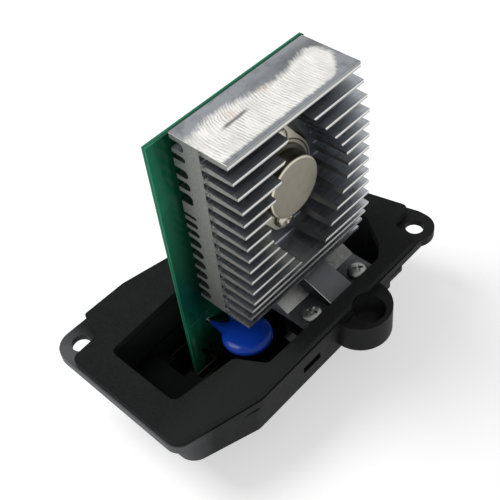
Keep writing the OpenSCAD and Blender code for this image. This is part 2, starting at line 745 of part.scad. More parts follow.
// Blade number i along X in the socket, bent through the board; w is its width along Z
module blade(i, z, w, leg_w) {
  y = blade_y[i];
  x = blade_leg_x[i];
  block([socket_x0 + 2.5, y - blade_t / 2, z - w / 2], [x + blade_t, y + blade_t / 2, z + w / 2]);
  low = min(y - blade_t / 2, board_front - leg_reach);
  high = max(y + blade_t / 2, board_back + leg_reach);
  block([x, low, z - leg_w / 2], [x + blade_t, high, z + leg_w / 2]);
}

module power_blades() color("#c2b280") for (i = [0, 1]) blade(i, power_z, power_w, power_leg_w);

module signal_blades() color("#c2b280") for (i = [0, 1]) blade(i, signal_z, signal_w, signal_leg_w);

// Comb that locks the four blades behind the socket wall, with a window in its middle
module terminal_carrier() color("#2a2a2b") difference() {
  block(carrier_box[0], carrier_box[1]);
  blade_slots(carrier_box[0][0] - 1, carrier_box[1][0] + 1);
  block([carrier_box[0][0] - 1, 0.5, -24], [carrier_box[1][0] + 1, 7.5, carrier_box[1][2] + 1]);
}

housing();
flange_gasket();
heatsink();
foot_screws();
foot_inserts();
mica_insulator();
transistor_base();
transistor_can();
transistor_pins();
pin_glass_seals();
transistor_die();
bond_wires();
pin_sleeves();
transistor_screws();
transistor_washers();
insulating_bushes();
board_spacers();
transistor_nuts();
circuit_board();
varistor_disc();
varistor_leads();
control_chip();
chip_legs();
sense_wire();
film_capacitor();
film_capacitor_leads();
electrolytic_capacitor();
electrolytic_leads();
resistors();
resistor_leads();
diode();
diode_leads();
solder_joints();
power_blades();
signal_blades();
terminal_carrier();
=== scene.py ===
"""Looks of a linear blower speed module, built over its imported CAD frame.

Each operator builds one piece or a group of like pieces from the CAD nodes, in metres and in the
CAD frame: +X along the heatsink, +Z up out of the housing, -Y towards the transistor.
"""

import json
import math
import random
from functools import partial, reduce

import bmesh
import bpy
from bpy.props import FloatProperty, FloatVectorProperty, PointerProperty
from mathutils import Matrix, Vector


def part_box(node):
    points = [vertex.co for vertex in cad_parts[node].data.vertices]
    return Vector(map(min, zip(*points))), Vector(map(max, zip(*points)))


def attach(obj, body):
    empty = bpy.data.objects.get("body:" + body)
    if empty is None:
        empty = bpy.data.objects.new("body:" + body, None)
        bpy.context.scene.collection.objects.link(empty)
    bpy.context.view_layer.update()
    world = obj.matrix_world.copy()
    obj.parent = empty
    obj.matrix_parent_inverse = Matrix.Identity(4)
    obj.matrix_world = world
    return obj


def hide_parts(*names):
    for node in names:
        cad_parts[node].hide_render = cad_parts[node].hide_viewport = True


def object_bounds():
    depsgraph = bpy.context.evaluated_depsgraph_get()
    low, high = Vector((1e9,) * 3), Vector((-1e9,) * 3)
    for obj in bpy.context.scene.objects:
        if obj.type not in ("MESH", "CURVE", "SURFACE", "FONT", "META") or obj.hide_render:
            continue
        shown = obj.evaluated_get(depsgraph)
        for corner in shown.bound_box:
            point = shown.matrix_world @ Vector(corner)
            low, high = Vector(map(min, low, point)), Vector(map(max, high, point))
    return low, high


bl_info = {
    "name": "Linear blower speed module",
    "version": (1, 0, 0),
    "blender": (4, 5, 0),
    "location": "3D View > Sidebar > Module",
    "description": "Builds the looks of a linear blower speed module over its CAD frame",
    "category": "Object",
}

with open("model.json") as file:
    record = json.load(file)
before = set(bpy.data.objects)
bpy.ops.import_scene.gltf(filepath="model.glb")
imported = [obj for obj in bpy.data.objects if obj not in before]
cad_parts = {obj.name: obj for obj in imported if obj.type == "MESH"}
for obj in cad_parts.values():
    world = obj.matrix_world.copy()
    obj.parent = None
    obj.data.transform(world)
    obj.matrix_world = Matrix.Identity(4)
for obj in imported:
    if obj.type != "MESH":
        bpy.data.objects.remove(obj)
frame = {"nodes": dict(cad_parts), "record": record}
CAD_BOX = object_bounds()

MM = 0.001

LEAD_NODES = ("film_capacitor_leads", "electrolytic_leads", "resistor_leads", "diode_leads")

# Places in the CAD, in millimetres
FIN_PITCH = 4.54
FIN_Z = 73.75  # the front fins step down from here
FIN_TIP = 1.0  # thickness of a fin at its tip
FRONT_FINS = 14
FIN_ROOT_Y = (-9.6, -7.4)
FOOT_TOP = 9.25
FOOT_BLOCK_X = (9.2, 19.6)
POCKET_TOP = -1.4
# The well's wide part, its front and the deep box: low corner, high corner and largest x - y
WELL = (
    ((-49.4, -17.2, -13.9), (44.2, 15.8, -3.3), 100.0),
    ((-24.5, -26.4, -13.9), (38.0, -17.0, -3.3), 58.0),
    ((-35.9, -12.4, -50.0), (37.3, 14.4, -13.9), 100.0),
)

# Places on the stage, in metres
KEY_PLACE, KEY_SIZE = (-0.26, 0.42, 0.8), 0.5
FILL_PLACE, FILL_SIZE = (-0.72, -0.72, 0.36), 0.36
LAMP_AIM = (0, 0, 0.02)
CAMERA_PLACE = (-0.12234, -0.13887, 0.21834)
CAMERA_RIGHT = (0.67956, -0.72811, -0.08973)
CAMERA_FORWARD = (0.44495, 0.50631, -0.73869)
CAMERA_SHIFT = (0.0026, 0.0022)


# ---- Properties ----


def measure(name, description, default, unit="LENGTH"):
    """A size in metres, or a value in another unit."""
    return FloatProperty(name=name, description=description, default=default, min=0.0, unit=unit)


def colour(name, description, default):
    """A linear colour."""
    return FloatVectorProperty(
        name=name, description=description, default=default, size=3, min=0.0, max=1.0,
        subtype="COLOR",
    )


class ModuleSizes(bpy.types.PropertyGroup):
    """Sizes that the looks add to the CAD"""

    housing_edge: measure("Housing edge", "Radius of the moulded edges", 0.35 * MM)
    gasket_edge: measure("Gasket edge", "Radius of the foam seal's cut edges", 0.25 * MM)
    sink_edge: measure("Heatsink edge", "Radius of the heatsink's edges", 0.1 * MM)
    steel_edge: measure("Steel edge", "Radius of stamped and turned steel edges", 0.12 * MM)
    board_edge: measure("Board edge", "Radius of the circuit board's edges", 0.08 * MM)
    plastic_grain: measure("Plastic grain", "Size of the moulded grain", 0.45 * MM)
    foam_grain: measure("Foam grain", "Size of the foam's cells", 0.4 * MM)
    mill_pitch: measure("Mill pitch", "Distance between the strokes on the top plate", 0.8 * MM)
    thread_pitch: measure("Thread pitch", "Pitch of the screw threads", 0.7 * MM)
    lead_radius: measure("Lead radius", "Radius of the varistor's leads", 0.4 * MM)
    neck_radius: measure("Neck radius", "Radius of the varistor's neck at its disc", 3.4 * MM)
    coating_detail: measure("Coating detail", "Voxel size of the dipped coatings", 0.25 * MM)


class ModuleColours(bpy.types.PropertyGroup):
    """Colours of the finishes"""

    plastic: colour("Plastic", "Black moulded plastic", (0.006, 0.0063, 0.0064))
    # Dust and a painted sheen: this lighter colour at the -X end also stands in for glare off the
    # plastic.
    dust_and_sheen: colour("Chalked plastic", "Plastic bleached and dusty at one end", (0.13, 0.133, 0.14))
    foam: colour("Foam", "Closed-cell foam of the seal", (0.0138, 0.0145, 0.0142))
    # Much darker than bare aluminium: the dim surroundings that the metal reflects are painted into
    # this colour as a painted reflection.
    aluminium: colour("Aluminium", "Extruded aluminium", (0.21, 0.22, 0.235))
    sawn: colour("Sawn aluminium", "Sawn and blasted aluminium", (0.29, 0.295, 0.28))
    milled: colour("Milled aluminium", "Freshly milled aluminium", (0.83, 0.82, 0.785))
    nickel: colour("Nickel", "Satin nickel of the transistor", (0.25, 0.235, 0.19))
    zinc: colour("Zinc", "Zinc plating", (0.17, 0.174, 0.168))
    nickelled: colour("Nickelled steel", "Nickel plated steel", (0.42, 0.39, 0.33))
    tin: colour("Tin", "Tinned wire and solder", (0.34, 0.35, 0.35))
    brass: colour("Brass", "Machined brass", (0.36, 0.25, 0.09))
    mask: colour("Solder mask", "Green solder mask", (0.011, 0.16, 0.088))
    laminate: colour("Laminate", "Cut edge of the glass laminate", (0.014, 0.15, 0.08))
    blue: colour("Blue coating", "Blue epoxy of the varistor", (0.007, 0.06, 0.5))
    nylon: colour("Nylon", "Unpigmented nylon", (0.6, 0.57, 0.48))
    resin: colour("Resin", "Black moulding resin", (0.013, 0.013, 0.014))
    red_epoxy: colour("Red epoxy", "Dipped coating of the film capacitor", (0.3, 0.045, 0.015))
    sleeve: colour("Sleeve", "Shrunk sleeve of the electrolytic capacitor", (0.012, 0.018, 0.05))
    lacquer: colour("Lacquer", "Resistor lacquer", (0.52, 0.4, 0.24))


class ModuleStage(bpy.types.PropertyGroup):
    """Floor, lights and camera"""

    floor_size: measure("Floor size", "Width of the floor", 6.0)
    key_power: measure("Key power", "Power of the overhead lamp", 4.5, "POWER")
    fill_power: measure("Fill power", "Power of the side lamp", 1.8, "POWER")
    lens: measure("Lens", "Focal length in millimetres", 63.5, "CAMERA")


# ---- Materials ----


def maths(operation, swapped=False):
    """A method that adds the named maths node to a number's graph."""
    def method(self, other=0.0):
        return self.graph.math(operation, *((other, self) if swapped else (self, other)))
    return method


class Number:
    """A number in a material's node tree. Arithmetic on it adds nodes."""

    __add__, __sub__, __rsub__ = maths("ADD"), maths("SUBTRACT"), maths("SUBTRACT", swapped=True)
    __mul__, __truediv__, __pow__ = maths("MULTIPLY"), maths("DIVIDE"), maths("POWER")
    __mod__, __abs__ = maths("FLOORED_MODULO"), maths("ABSOLUTE")
    larger, root, sine, cosine = maths("MAXIMUM"), maths("SQRT"), maths("SINE"), maths("COSINE")

    def __init__(self, graph, socket):
        self.graph, self.socket = graph, socket

    def ramp(self, low, high, out_low=0.0, out_high=1.0):
        """Maps low..high to out_low..out_high, clamped."""
        limits = {"From Min": low, "From Max": high, "To Min": out_low, "To Max": out_high}
        return self.graph.number("MapRange", {"Value": self, **limits})

    def inside(self, low, high, soft=0.05):
        """1 between low and high."""
        return self.ramp(low - soft, low + soft) * self.ramp(high - soft, high + soft, 1.0, 0.0)


def new_material(name):
    """A material with no nodes."""
    material = bpy.data.materials.new(name)
    material.use_nodes = True
    material.node_tree.nodes.clear()
    return material


def plug(tree, socket, value):
    """Links a socket, or sets its constant."""
    if isinstance(value, Number):
        value = value.socket
    if isinstance(value, bpy.types.NodeSocket):
        tree.links.new(value, socket)
    elif socket.type == "RGBA" and len(value) == 3:
        socket.default_value = (*value, 1.0)
    else:
        socket.default_value = value


def add_node(tree, kind, inputs=None, **settings):
    node = tree.nodes.new("ShaderNode" + kind)
    for key, value in settings.items():
        setattr(node, key, value)
    for key, value in (inputs or {}).items():
        plug(tree, node.inputs[key], value)
    return node


class Graph:
    """One material's node tree, built with short calls. Its places are in millimetres."""

    def __init__(self, name):
        self.material = new_material(name)
        self.add = partial(add_node, self.material.node_tree)
        self.shader = self.add("BsdfPrincipled")
        self.add("OutputMaterial", {"Surface": self.shader.outputs["BSDF"]})
        self.mm = self.scaled(self.add("TexCoord").outputs["Object"], 1 / MM)
        self.x, self.y, self.z = self.parts(self.mm)

    def number(self, kind, inputs, output=0, **settings):
        return Number(self, self.add(kind, inputs, **settings).outputs[output])

    def math(self, operation, a, b):
        return self.number("Math", {0: a, 1: b}, operation=operation)

    def scaled(self, vector, factor):
        return self.add("VectorMath", {0: vector, "Scale": factor}, operation="SCALE").outputs[0]

    def parts(self, vector):
        """The three numbers of a vector."""
        return [Number(self, output) for output in self.add("SeparateXYZ", {0: vector}).outputs]

    def mix(self, a, b, factor):
        """Mix of two colours."""
        return self.add("Mix", {0: factor, 6: a, 7: b}, data_type="RGBA").outputs[2]

    def layers(self, base, *layers):
        """A base colour under layers, each (colour, how much of it covers)."""
        for colour, cover in layers:
            base = self.mix(base, colour, cover)
        return base

    def blend(self, a, b, factor):
        """Mix of two numbers."""
        return self.number("Mix", {0: factor, 2: a, 3: b})

    def noise(self, size, detail=3.0, rough=0.55, stretch=(1.0, 1.0, 1.0), place=None):
        """Noise whose blobs are about size millimetres, longer along an axis by stretch."""
        inputs = {0: place or self.mm, 1: tuple(1.0 / s for s in stretch)}
        place = self.add("VectorMath", inputs, operation="MULTIPLY").outputs[0]
        inputs = {"Vector": place, "Scale": 1.0 / size, "Detail": detail, "Roughness": rough}
        return self.number("TexNoise", inputs, "Fac")

    def bump(self, height, distance, normal=None):
        """A bump of distance millimetres."""
        inputs = {"Height": height, "Distance": distance * MM, "Strength": 1.0}
        if normal is not None:
            inputs["Normal"] = normal
        return self.add("Bump", inputs).outputs[0]

    def shade(self, base, rough, normal, **constants):
        """Plugs the shader, with _ for spaces in its sockets' names, and returns the material."""
        sockets = {"Base_Color": base, "Roughness": rough, "Normal": normal, **constants}
        for key, value in sockets.items():
            plug(self.material.node_tree, self.shader.inputs[key.replace("_", " ")], value)
        return self.material


def tinted(rgb, factor=1.0):
    return tuple(min(1.0, c * factor) for c in rgb)


def tints(*colours):
    """A function of a tint factor for each colour."""
    return [partial(tinted, rgb) for rgb in colours]


def squared_distance(u, v, centre):
    return (u - centre[0]) ** 2.0 + (v - centre[1]) ** 2.0


def box_mm(node):
    """The lowest and highest corners of a node, in millimetres."""
    return [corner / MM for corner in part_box(node)]


def moulded(name, rgb, grain, rough=(0.42, 0.6), specular=0.12, dust_and_sheen=None):
    """Moulded plastic: fine grain, faint flow marks and rubbed patches, and dust with a painted
    sheen towards -X.
    """
    g = Graph(name)
    patches = g.noise(9.0, 4.0)
    rubbed = g.noise(2.2, 5.0, 0.65).ramp(0.58, 0.74) * 0.35
    base = g.layers(tinted(rgb, 0.8), (tinted(rgb, 1.25), patches), (tinted(rgb, 2.0), rubbed))
    if dust_and_sheen is not None:
        # dust and painted sheen: the plastic is lightened towards the -X end
        base = g.mix(base, dust_and_sheen, g.x.ramp(-47.0, -57.0) * patches.ramp(0.2, 0.7, 0.6, 1.0))
    normal = g.bump(g.noise(grain, 2.0, 0.6), 0.02, g.bump(g.noise(12.0, 1.0), 0.05))
    return g.shade(base, g.blend(*rough, g.noise(3.0)), normal, Specular_IOR_Level=specular)


def foam(name, rgb, grain):
    """Closed-cell foam: small cells with open cut faces, compression marks and a front lightened as
    painted light.
    """
    g = Graph(name)
    cells = g.number("TexVoronoi", {"Vector": g.mm, "Scale": 1.0 / grain}, "Distance")
    pits = cells.ramp(0.1, 0.55)
    base = g.layers(
        tinted(rgb, 0.55),
        (tinted(rgb, 1.35), pits),
        (tinted(rgb, 1.5), g.noise(7.0, 4.0).ramp(0.5, 0.8)),
        # painted light: the foam is lighter towards the front
        (tinted(rgb, 1.7), g.y.ramp(-15.0, -22.0, 0.0, 0.9)),
    )
    normal = g.bump(pits, 0.05, g.bump(g.noise(5.0, 2.0), 0.08))
    return g.shade(base, 0.92, normal, Specular_IOR_Level=0.09)


def extrusion(name, colours, sizes):
    """The heatsink: drawn lines along X, sawn ends, a ground top plate and a milled foot."""
    g = Graph(name)
    x, y, z = g.x, g.y, g.z
    facing = g.parts(g.add("NewGeometry").outputs["True Normal"])
    aluminium, sawn, milled = tints(colours.aluminium, colours.sawn, colours.milled)
    lo, hi = box_mm("heatsink")
    half = (hi.x - lo.x) / 2
    ends = abs(x - (lo.x + half)).ramp(half - 0.08, half - 0.03)
    top = z.ramp(hi.z - 0.06, hi.z - 0.02)
    foot = z.ramp(FOOT_TOP - 0.25, FOOT_TOP - 0.05, 1.0, 0.0)
    above_foot = z.ramp(FOOT_TOP + 0.05, FOOT_TOP + 0.15)
    forward = facing[1].ramp(-0.75, -0.9) * above_foot
    drawn = g.noise(0.3, rough=0.6, stretch=(90.0, 1.0, 1.0))
    stains = g.noise(4.0, 4.0, 0.6)
    grit = g.noise(0.5, 4.0, 0.75).ramp(0.3, 0.7)
    saw = g.noise(0.22, 2.0, 0.5, stretch=(1.0, 14.0, 1.0))

    # the sawn ends, with a painted highlight along their top edge
    sawn_end = g.mix(sawn(0.66), sawn(1.2), grit)
    sawn_end = g.mix(sawn_end, milled(1.1), z.ramp(hi.z - 0.45, hi.z - 0.25))
    # slots sawn through at the fins' roots leave dark nicks
    nick = y.inside(*FIN_ROOT_Y, 0.4) * g.noise(0.6, rough=0.7).ramp(0.47, 0.54) * ends
    # the faces milled through the fins about the transistor are dull
    opening = abs(facing[0]).ramp(0.25, 0.4) * above_foot * (1.0 - ends)
    # the fins' tips carry a painted highlight towards their upper edge, where they face the light
    below_edge = (FIN_Z + FIN_TIP / 2 - z) % FIN_PITCH
    tip = g.mix(aluminium(0.8), milled(0.95), below_edge.ramp(0.35, 0.85, 1.0, 0.25))

    # the band ground over the top plate, and its gouge
    across = x - (y + 8.0) ** 2.0 * y.ramp(-8.5, -7.5, 0.0086, 0.045)
    pitch = sizes.mill_pitch / MM
    lane = g.add("CombineXYZ", {0: across / pitch, 1: y / 9.0}).outputs[0]
    strokes = g.noise(1.0, 2.5, 0.6, place=lane).ramp(0.3, 0.68)
    band = band_mask(g, strokes) * top
    gouge = abs(y + (x * -0.043 + 6.85)) + (stains - 0.5) * 0.9
    gouge = gouge.ramp(0.15, 0.95, 1.0, 0.0) * x.inside(-9.7, -0.6, 1.2)
    lines = y.inside(-16.62, -16.5, 0.03) + y.inside(-17.25, -17.12, 0.03)
    plate = g.layers(
        aluminium(1.0),
        (aluminium(1.75), g.noise(2.4, rough=0.6, stretch=(9.0, 1.0, 1.0))),
        (aluminium(0.85), stains.ramp(0.48, 0.72)),
        (aluminium(0.72), x.ramp(2.0, 22.0) * y.inside(-5.0, 0.6, 1.6) * 0.8),
        (aluminium(0.6), lines),
    )

    base = g.layers(
        aluminium(1.05),
        (aluminium(2.5), drawn.ramp(0.25, 0.75)),
        (aluminium(3.2), g.noise(0.5, rough=0.7).ramp(0.64, 0.7) * 0.5),
        (aluminium(0.75), stains.ramp(0.55, 0.75)),
        (sawn_end, ends),
        (foot_colour(g, facing, aluminium, sawn, milled), foot),
        (g.mix(aluminium(0.35), aluminium(1.1), stains), forward * y.ramp(-9.0, -8.5)),
        (aluminium(0.5), opening * 0.85),
        (tip, forward * y.ramp(-17.4, -17.3, 1.0, 0.0)),
        (sawn(0.2), nick * 0.85),
        (plate, top),
        (band_colour(g, milled, across, pitch, strokes, gouge), band),
    )
    rough = g.blend(0.3, 0.44, drawn)
    for value, cover in ((0.62, ends), (0.48, foot), (0.24, top), (0.34, band)):
        rough = g.blend(rough, value, cover)
    height = drawn * 0.5 + saw * ends + strokes * band * 1.2 - (gouge + lines) * top
    return g.shade(base, rough, g.bump(height, 0.02, g.bump(grit, 0.012)), Metallic=1.0)


def foot_colour(g, facing, aluminium, sawn, milled):
    """The foot: blasted ramps; pocket floors, lighter towards -X and dark next to the block as a
    painted shadow; a dull block between them with a painted highlight along its left edge; faces
    towards ±X darkened as painted shade; a steep side lit bright as painted light.
    """
    x, y = g.x, g.y
    left, right = FOOT_BLOCK_X
    mottle = g.noise(1.6, 4.0, 0.65)
    ramps = g.layers(
        sawn(0.36),
        (sawn(0.84), mottle.ramp(0.3, 0.65)),
        (sawn(0.35), x.ramp(18.0, 31.0, 0.0, 0.6)),
        (sawn(1.5), x.ramp(0.5, 9.0, 0.75, 0.0)),
    )
    floors = g.mix(aluminium(0.55), aluminium(1.35), mottle.ramp(0.3, 0.7))
    floors = g.mix(aluminium(3.2), floors, x.ramp(4.0, 12.0, 0.3, 1.0))
    # painted shadow: the pocket floors go dark next to the block's sides
    painted_block_shadow = x.ramp(left - 2.8, left).larger(x.ramp(right, right + 3.8, 1.0, 0.0))
    floors = g.mix(floors, aluminium(0.08), painted_block_shadow * 0.75)
    block = g.layers(
        aluminium(0.24),
        (aluminium(0.6), y.ramp(-25.0, -15.5)),
        (aluminium(0.75), mottle * 0.25),
        # painted highlight along the block's left edge
        (milled(), x.inside(left - 0.2, left + 0.16, 0.04)),
    )
    # painted light: steep faces at the foot's -X end, in front of the web, are lit bright
    side = abs(facing[2]).ramp(0.3, 0.5, 1.0, 0.0) * y.ramp(-8.5, -8.0, 1.0, 0.0)
    return g.layers(
        ramps,
        (floors, facing[2].ramp(0.96, 0.99)),
        (block, x.inside(left + 0.05, right - 0.05)),
        # painted shade on the faces towards ±X
        (aluminium(0.3), abs(facing[0]).ramp(0.5, 0.9)),
        (aluminium(3.4), side * x.ramp(4.0, 4.2, 1.0, 0.0)),
    )


def band_mask(g, strokes):
    """1 inside the band ground on the top plate, whose edges wander with the strokes."""
    x, y = g.x, g.y
    reach = strokes * 1.5 + (g.noise(2.6, 3.0) - 0.5) * 2.6
    back_y = ((x + 8.0) * (2 * math.pi / 42)).cosine() * 1.6 - 2.3
    right_x = (y + 7.0) ** 2.0 * -0.09 + 31.4
    back = (y + reach - back_y).ramp(-0.9, 1.5, 1.0, 0.0)
    front = (y + reach * 0.35).ramp(-16.2, -15.2)
    return back * front * (x + reach - right_x).ramp(0.0, 1.6, 1.0, 0.0)


def band_colour(g, milled, across, pitch, strokes, gouge):
    """Fresh metal of the ground band: strokes, chatter marks, worn patches, a gouge, two stains."""
    turn = across * (2 * math.pi / (1.15 * pitch)) + g.noise(2.2, 2.0) * 7.0
    chatter = turn.sine().ramp(0.2, 0.85) * g.noise(3.5, 2.0).ramp(0.38, 0.62, 0.25, 1.0)
    stains = [squared_distance(g.x, g.y, spot).root() for spot in ((-4.5, -4.6), (8.5, -4.0))]
    return g.layers(
        milled(0.9),
        (milled(1.15), strokes),
        (milled(0.38), chatter * g.x.ramp(4.0, 20.0, 0.85, 0.5) * 0.9),
        (milled(0.8), g.noise(6.0).ramp(0.5, 0.75)),
        (milled(0.2), gouge * 0.95),
        *(((0.72, 0.56, 0.42), away.ramp(0.5, 2.6, 0.4, 0.0)) for away in stains),
    )


def metal(name, rgb, rough=0.35, spread=0.12, scratch=0.15, tarnish=0.7, rings=(), relief=0.006):
    """Plated or drawn metal: fine scratches, uneven polish, duller patches, and rings about the can
    that carry painted highlights and shadows.

    Each ring is (inner radius, outer radius, tint), in millimetres from the can's axis.
    """
    g = Graph(name)
    fine = g.noise(scratch, rough=0.65)
    patches = g.noise(2.5, 4.0, 0.6)
    base = g.mix(rgb, tinted(rgb, tarnish), patches.ramp(0.45, 0.75))
    base = g.mix(base, tinted(rgb, 1.1), fine * 0.3)
    centre = sum(box_mm("transistor_can"), Vector()) / 2
    # rings of painted light and shade about the can's axis
    for inner, outer, tint in rings:
        from_axis = squared_distance(g.x, g.z, centre.xz).root()
        base = g.mix(base, tinted(rgb, tint), from_axis.inside(inner, outer, 0.08))
    roughness = g.blend(max(rough - spread, 0.05), rough + spread, patches)
    return g.shade(base, roughness, g.bump(fine, relief), Metallic=1.0)


def solder_mask(name, colours):
    """Green mask over copper areas, with a cut laminate edge, a pale strip, pale marks and painted
    light and shade on its front face.
    """
    g = Graph(name)
    x, y, z = g.x, g.y, g.z
    mask, laminate = tints(colours.mask, colours.laminate)
    lo, hi = box_mm("circuit_board")
    copper = g.noise(2.6, 1.5, 0.4, stretch=(1.0, 1.0, 22.0)).ramp(0.5, 0.52)
    copper = copper.larger(g.noise(9.0, 1.0, 0.3, stretch=(1.0, 1.0, 1.6)).ramp(0.55, 0.56))
    green = g.mix(mask(0.7), mask(1.15), g.noise(14.0))

    edges = [
        place.inside(*span, 0.02)
        for place, low, high in ((x, lo.x, hi.x), (z, lo.z, hi.z))
        for span in ((low - 1, low + 0.05), (high - 0.05, high + 1))
    ]
    cut = reduce(Number.larger, edges)
    edge = g.mix(laminate(0.8), laminate(1.3), g.noise(0.4, rough=0.6, stretch=(4.0, 0.6, 4.0)))
    edge = g.mix(edge, laminate(0.3), y.inside(lo.y + 0.55, lo.y + 0.95, 0.15) * 0.8)

    strip = x.inside(-25.9, -24.3) * z.inside(-19.0, -7.5, 1.0) * z.ramp(-19.0, -9.0, 0.1, 0.4)
    marks = x.inside(-25.2, -19.6) * z.inside(-1.42, -1.2)
    for dot in ((-17.9, -1.2), (-16.0, -4.5), (-16.8, -8.9)):
        marks = marks.larger(squared_distance(x, z, dot).ramp(0.25, 0.5, 1.0, 0.0))
    base = g.layers(
        mask(0.6),
        (green, copper.ramp(0.0, 1.0, 0.35, 1.0)),
        (edge, cut),
        ((0.16, 0.36, 0.25), strip),
        ((0.2, 0.34, 0.28), marks * 0.5),
    )

    # painted light and shade on the transistor's face of the mask: darker in its lower middle and
    # away from its left edge, lighter along its left edge and at the bottom; the back face is one
    # even tone
    painted_light_and_shade = z.ramp(12.0, 44.0, 0.42, 1.0).larger(z.ramp(-16.0, 8.0, 1.6, 0.42))
    painted_light_and_shade = painted_light_and_shade * x.ramp(lo.x, -20.0, 1.75, 0.5)
    painted_light_and_shade = g.blend(painted_light_and_shade, 1.3, y.ramp(lo.y + 0.6, lo.y + 1.0))
    normal = g.bump(copper * 0.6 + g.noise(0.8, 2.0) * 0.25, 0.03)
    return g.shade(g.scaled(base, painted_light_and_shade), g.blend(0.2, 0.7, cut), normal, Specular_IOR_Level=0.22)


def dipped(name, rgb, rough=0.12, wobble=0.1, specular=0.35):
    """A glossy dipped coating with slow waves and specks."""
    g = Graph(name)
    waves = g.noise(5.0, 2.0)
    base = g.mix(tinted(rgb, 0.8), tinted(rgb, 1.15), waves)
    base = g.mix(base, tinted(rgb, 0.5), g.noise(0.5, 2.0).ramp(0.72, 0.78) * 0.4)
    normal = g.bump(waves, wobble, g.bump(g.noise(0.9, 2.0), 0.006))
    roughness = g.blend(rough, rough + 0.12, g.noise(2.0, 3.0))
    return g.shade(base, roughness, normal, Specular_IOR_Level=specular)


def banded(name, rgb, bands, half):
    """Lacquer with bands, each (place, colour), half wide each way along the attribute 'along'."""
    g = Graph(name)
    along = g.number("Attribute", {}, "Fac", attribute_name="along")
    base = g.mix(tinted(rgb, 0.85), tinted(rgb, 1.1), g.noise(1.0, 3.0))
    for place, paint in bands:
        base = g.mix(base, paint, along.inside(place - half, place + half, 0.06))
    normal = g.bump(g.noise(0.6, 3.0), 0.015)
    return g.shade(base, 0.35, normal, Coat_Weight=0.2, Coat_Roughness=0.2)


# ---- Mesh helpers ----


def to_mesh(bm, name, sharp=35.0):
    """A mesh from bm, smooth but for edges sharper than sharp degrees."""
    bmesh.ops.recalc_face_normals(bm, faces=bm.faces)
    for face in bm.faces:
        face.smooth = True
    for edge in bm.edges:
        edge.smooth = edge.calc_face_angle(math.pi) < math.radians(sharp)
    mesh = bpy.data.meshes.new(name)
    bm.to_mesh(mesh)
    bm.free()
    return mesh


def new_object(name, data):
    """An object of the scene."""
    obj = bpy.data.objects.new(name, data)
    bpy.context.scene.collection.objects.link(obj)
    return obj


def piece(name, mesh, material, slot, *stands_for):
    """Links a mesh or bmesh as a piece that rides on the frame and may stand for CAD nodes."""
    if isinstance(mesh, bmesh.types.BMesh):
        mesh = to_mesh(mesh, name)
    obj = new_object(name, mesh)
    for m in material if isinstance(material, list) else [material]:
        mesh.materials.append(m)
    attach(obj, "root")
    if stands_for:
        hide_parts(*stands_for)


def merged(node):
    """A bmesh of a CAD node with its split vertices joined and its flat faces whole."""
    bm = bmesh.new()
    bm.from_mesh(frame["nodes"][node].data)
    bmesh.ops.remove_doubles(bm, verts=bm.verts, dist=1e-6)
    flat = math.radians(0.5)
    bmesh.ops.dissolve_limit(bm, angle_limit=flat, verts=bm.verts, edges=bm.edges)
    return bm


def modified(mesh, *modifiers):
    """The mesh after modifiers, each given as (type, settings)."""
    obj = new_object(mesh.name, mesh)
    for kind, settings in modifiers:
        modifier = obj.modifiers.new(kind, kind)
        for key, value in settings.items():
            setattr(modifier, key, value)
    graph = bpy.context.evaluated_depsgraph_get()
    result = bpy.data.meshes.new_from_object(obj.evaluated_get(graph))
    bpy.data.objects.remove(obj)
    return result


def remesh(mesh, voxel, factor, iterations, *more):
    """The mesh rebuilt from voxels and smoothed, as a coating flows."""
    voxels = {"mode": "VOXEL", "voxel_size": voxel, "use_smooth_shade": True}
    smooth = {"factor": factor, "iterations": iterations}
    return modified(mesh, ("REMESH", voxels), ("SMOOTH", smooth), *more)


def cut_out(mesh, cutter, sharp=35.0, **settings):
    """The mesh with the bmesh cutter's shape taken out of it."""
    tool = new_object("cutter", to_mesh(cutter, "cutter", sharp))
    cut = {"operation": "DIFFERENCE", "object": tool, "solver": "EXACT", **settings}
    mesh = modified(mesh, ("BOOLEAN", cut))
    bpy.data.objects.remove(tool)
    return mesh


def softened(node, width, sharp=25.0, segments=2):
    """A mesh of a CAD node with every edge sharper than sharp degrees rounded by width."""
    bm = merged(node)
    edges = [
        e for e in bm.edges
        if len(e.link_faces) == 2 and e.calc_face_angle(0.0) > math.radians(sharp)
    ]
    bmesh.ops.bevel(
        bm, geom=edges, offset=width, segments=segments, profile=0.5, affect="EDGES",
        clamp_overlap=True,
    )
    weighted = {"keep_sharp": True, "weight": 100}
    return modified(to_mesh(bm, node + "_form", 40.0), ("WEIGHTED_NORMAL", weighted))


def soft_piece(name, node, width, material, slot):
    """A piece that is its CAD node with rounded edges."""
    piece(name, softened(node, width), material, slot, node)


def keep_nodes(material, *nodes):
    """Gives CAD nodes that stay shown their material."""
    for node in nodes:
        slots = frame["nodes"][node].data.materials
        slots.clear()
        slots.append(material)


def turned(degrees, axis):
    return Matrix.Rotation(math.radians(degrees), 4, axis)


def around(radius, height, k, steps):
    """The k-th of steps places round Z."""
    a = 2 * math.pi * k / steps
    return Vector((radius * math.cos(a), radius * math.sin(a), height))


def bridge(bm, rings, index=0):
    """Faces between neighbouring rings of vertices. A ring may be a single vertex."""
    for low, high in zip(rings, rings[1:]):
        for k in range(max(len(low), len(high))):
            j = k + 1
            quad = [low[k % len(low)], low[j % len(low)], high[j % len(high)], high[k % len(high)]]
            quad = list(dict.fromkeys(quad))
            if len(quad) > 2:
                bm.faces.new(quad).material_index = index


def lathe(bm, profile, where, steps, index=0, layer=None):
    """Turns a profile of (radius, height) about Z and places it with the matrix where."""
    rings = []
    for radius, height in profile:
        count = 1 if radius < 1e-9 else steps
        ring = [bm.verts.new(where @ around(radius, height, k, steps)) for k in range(count)]
        if layer is not None:
            for vert in ring:
                vert[layer] = height / MM
        rings.append(ring)
    bridge(bm, rings, index)


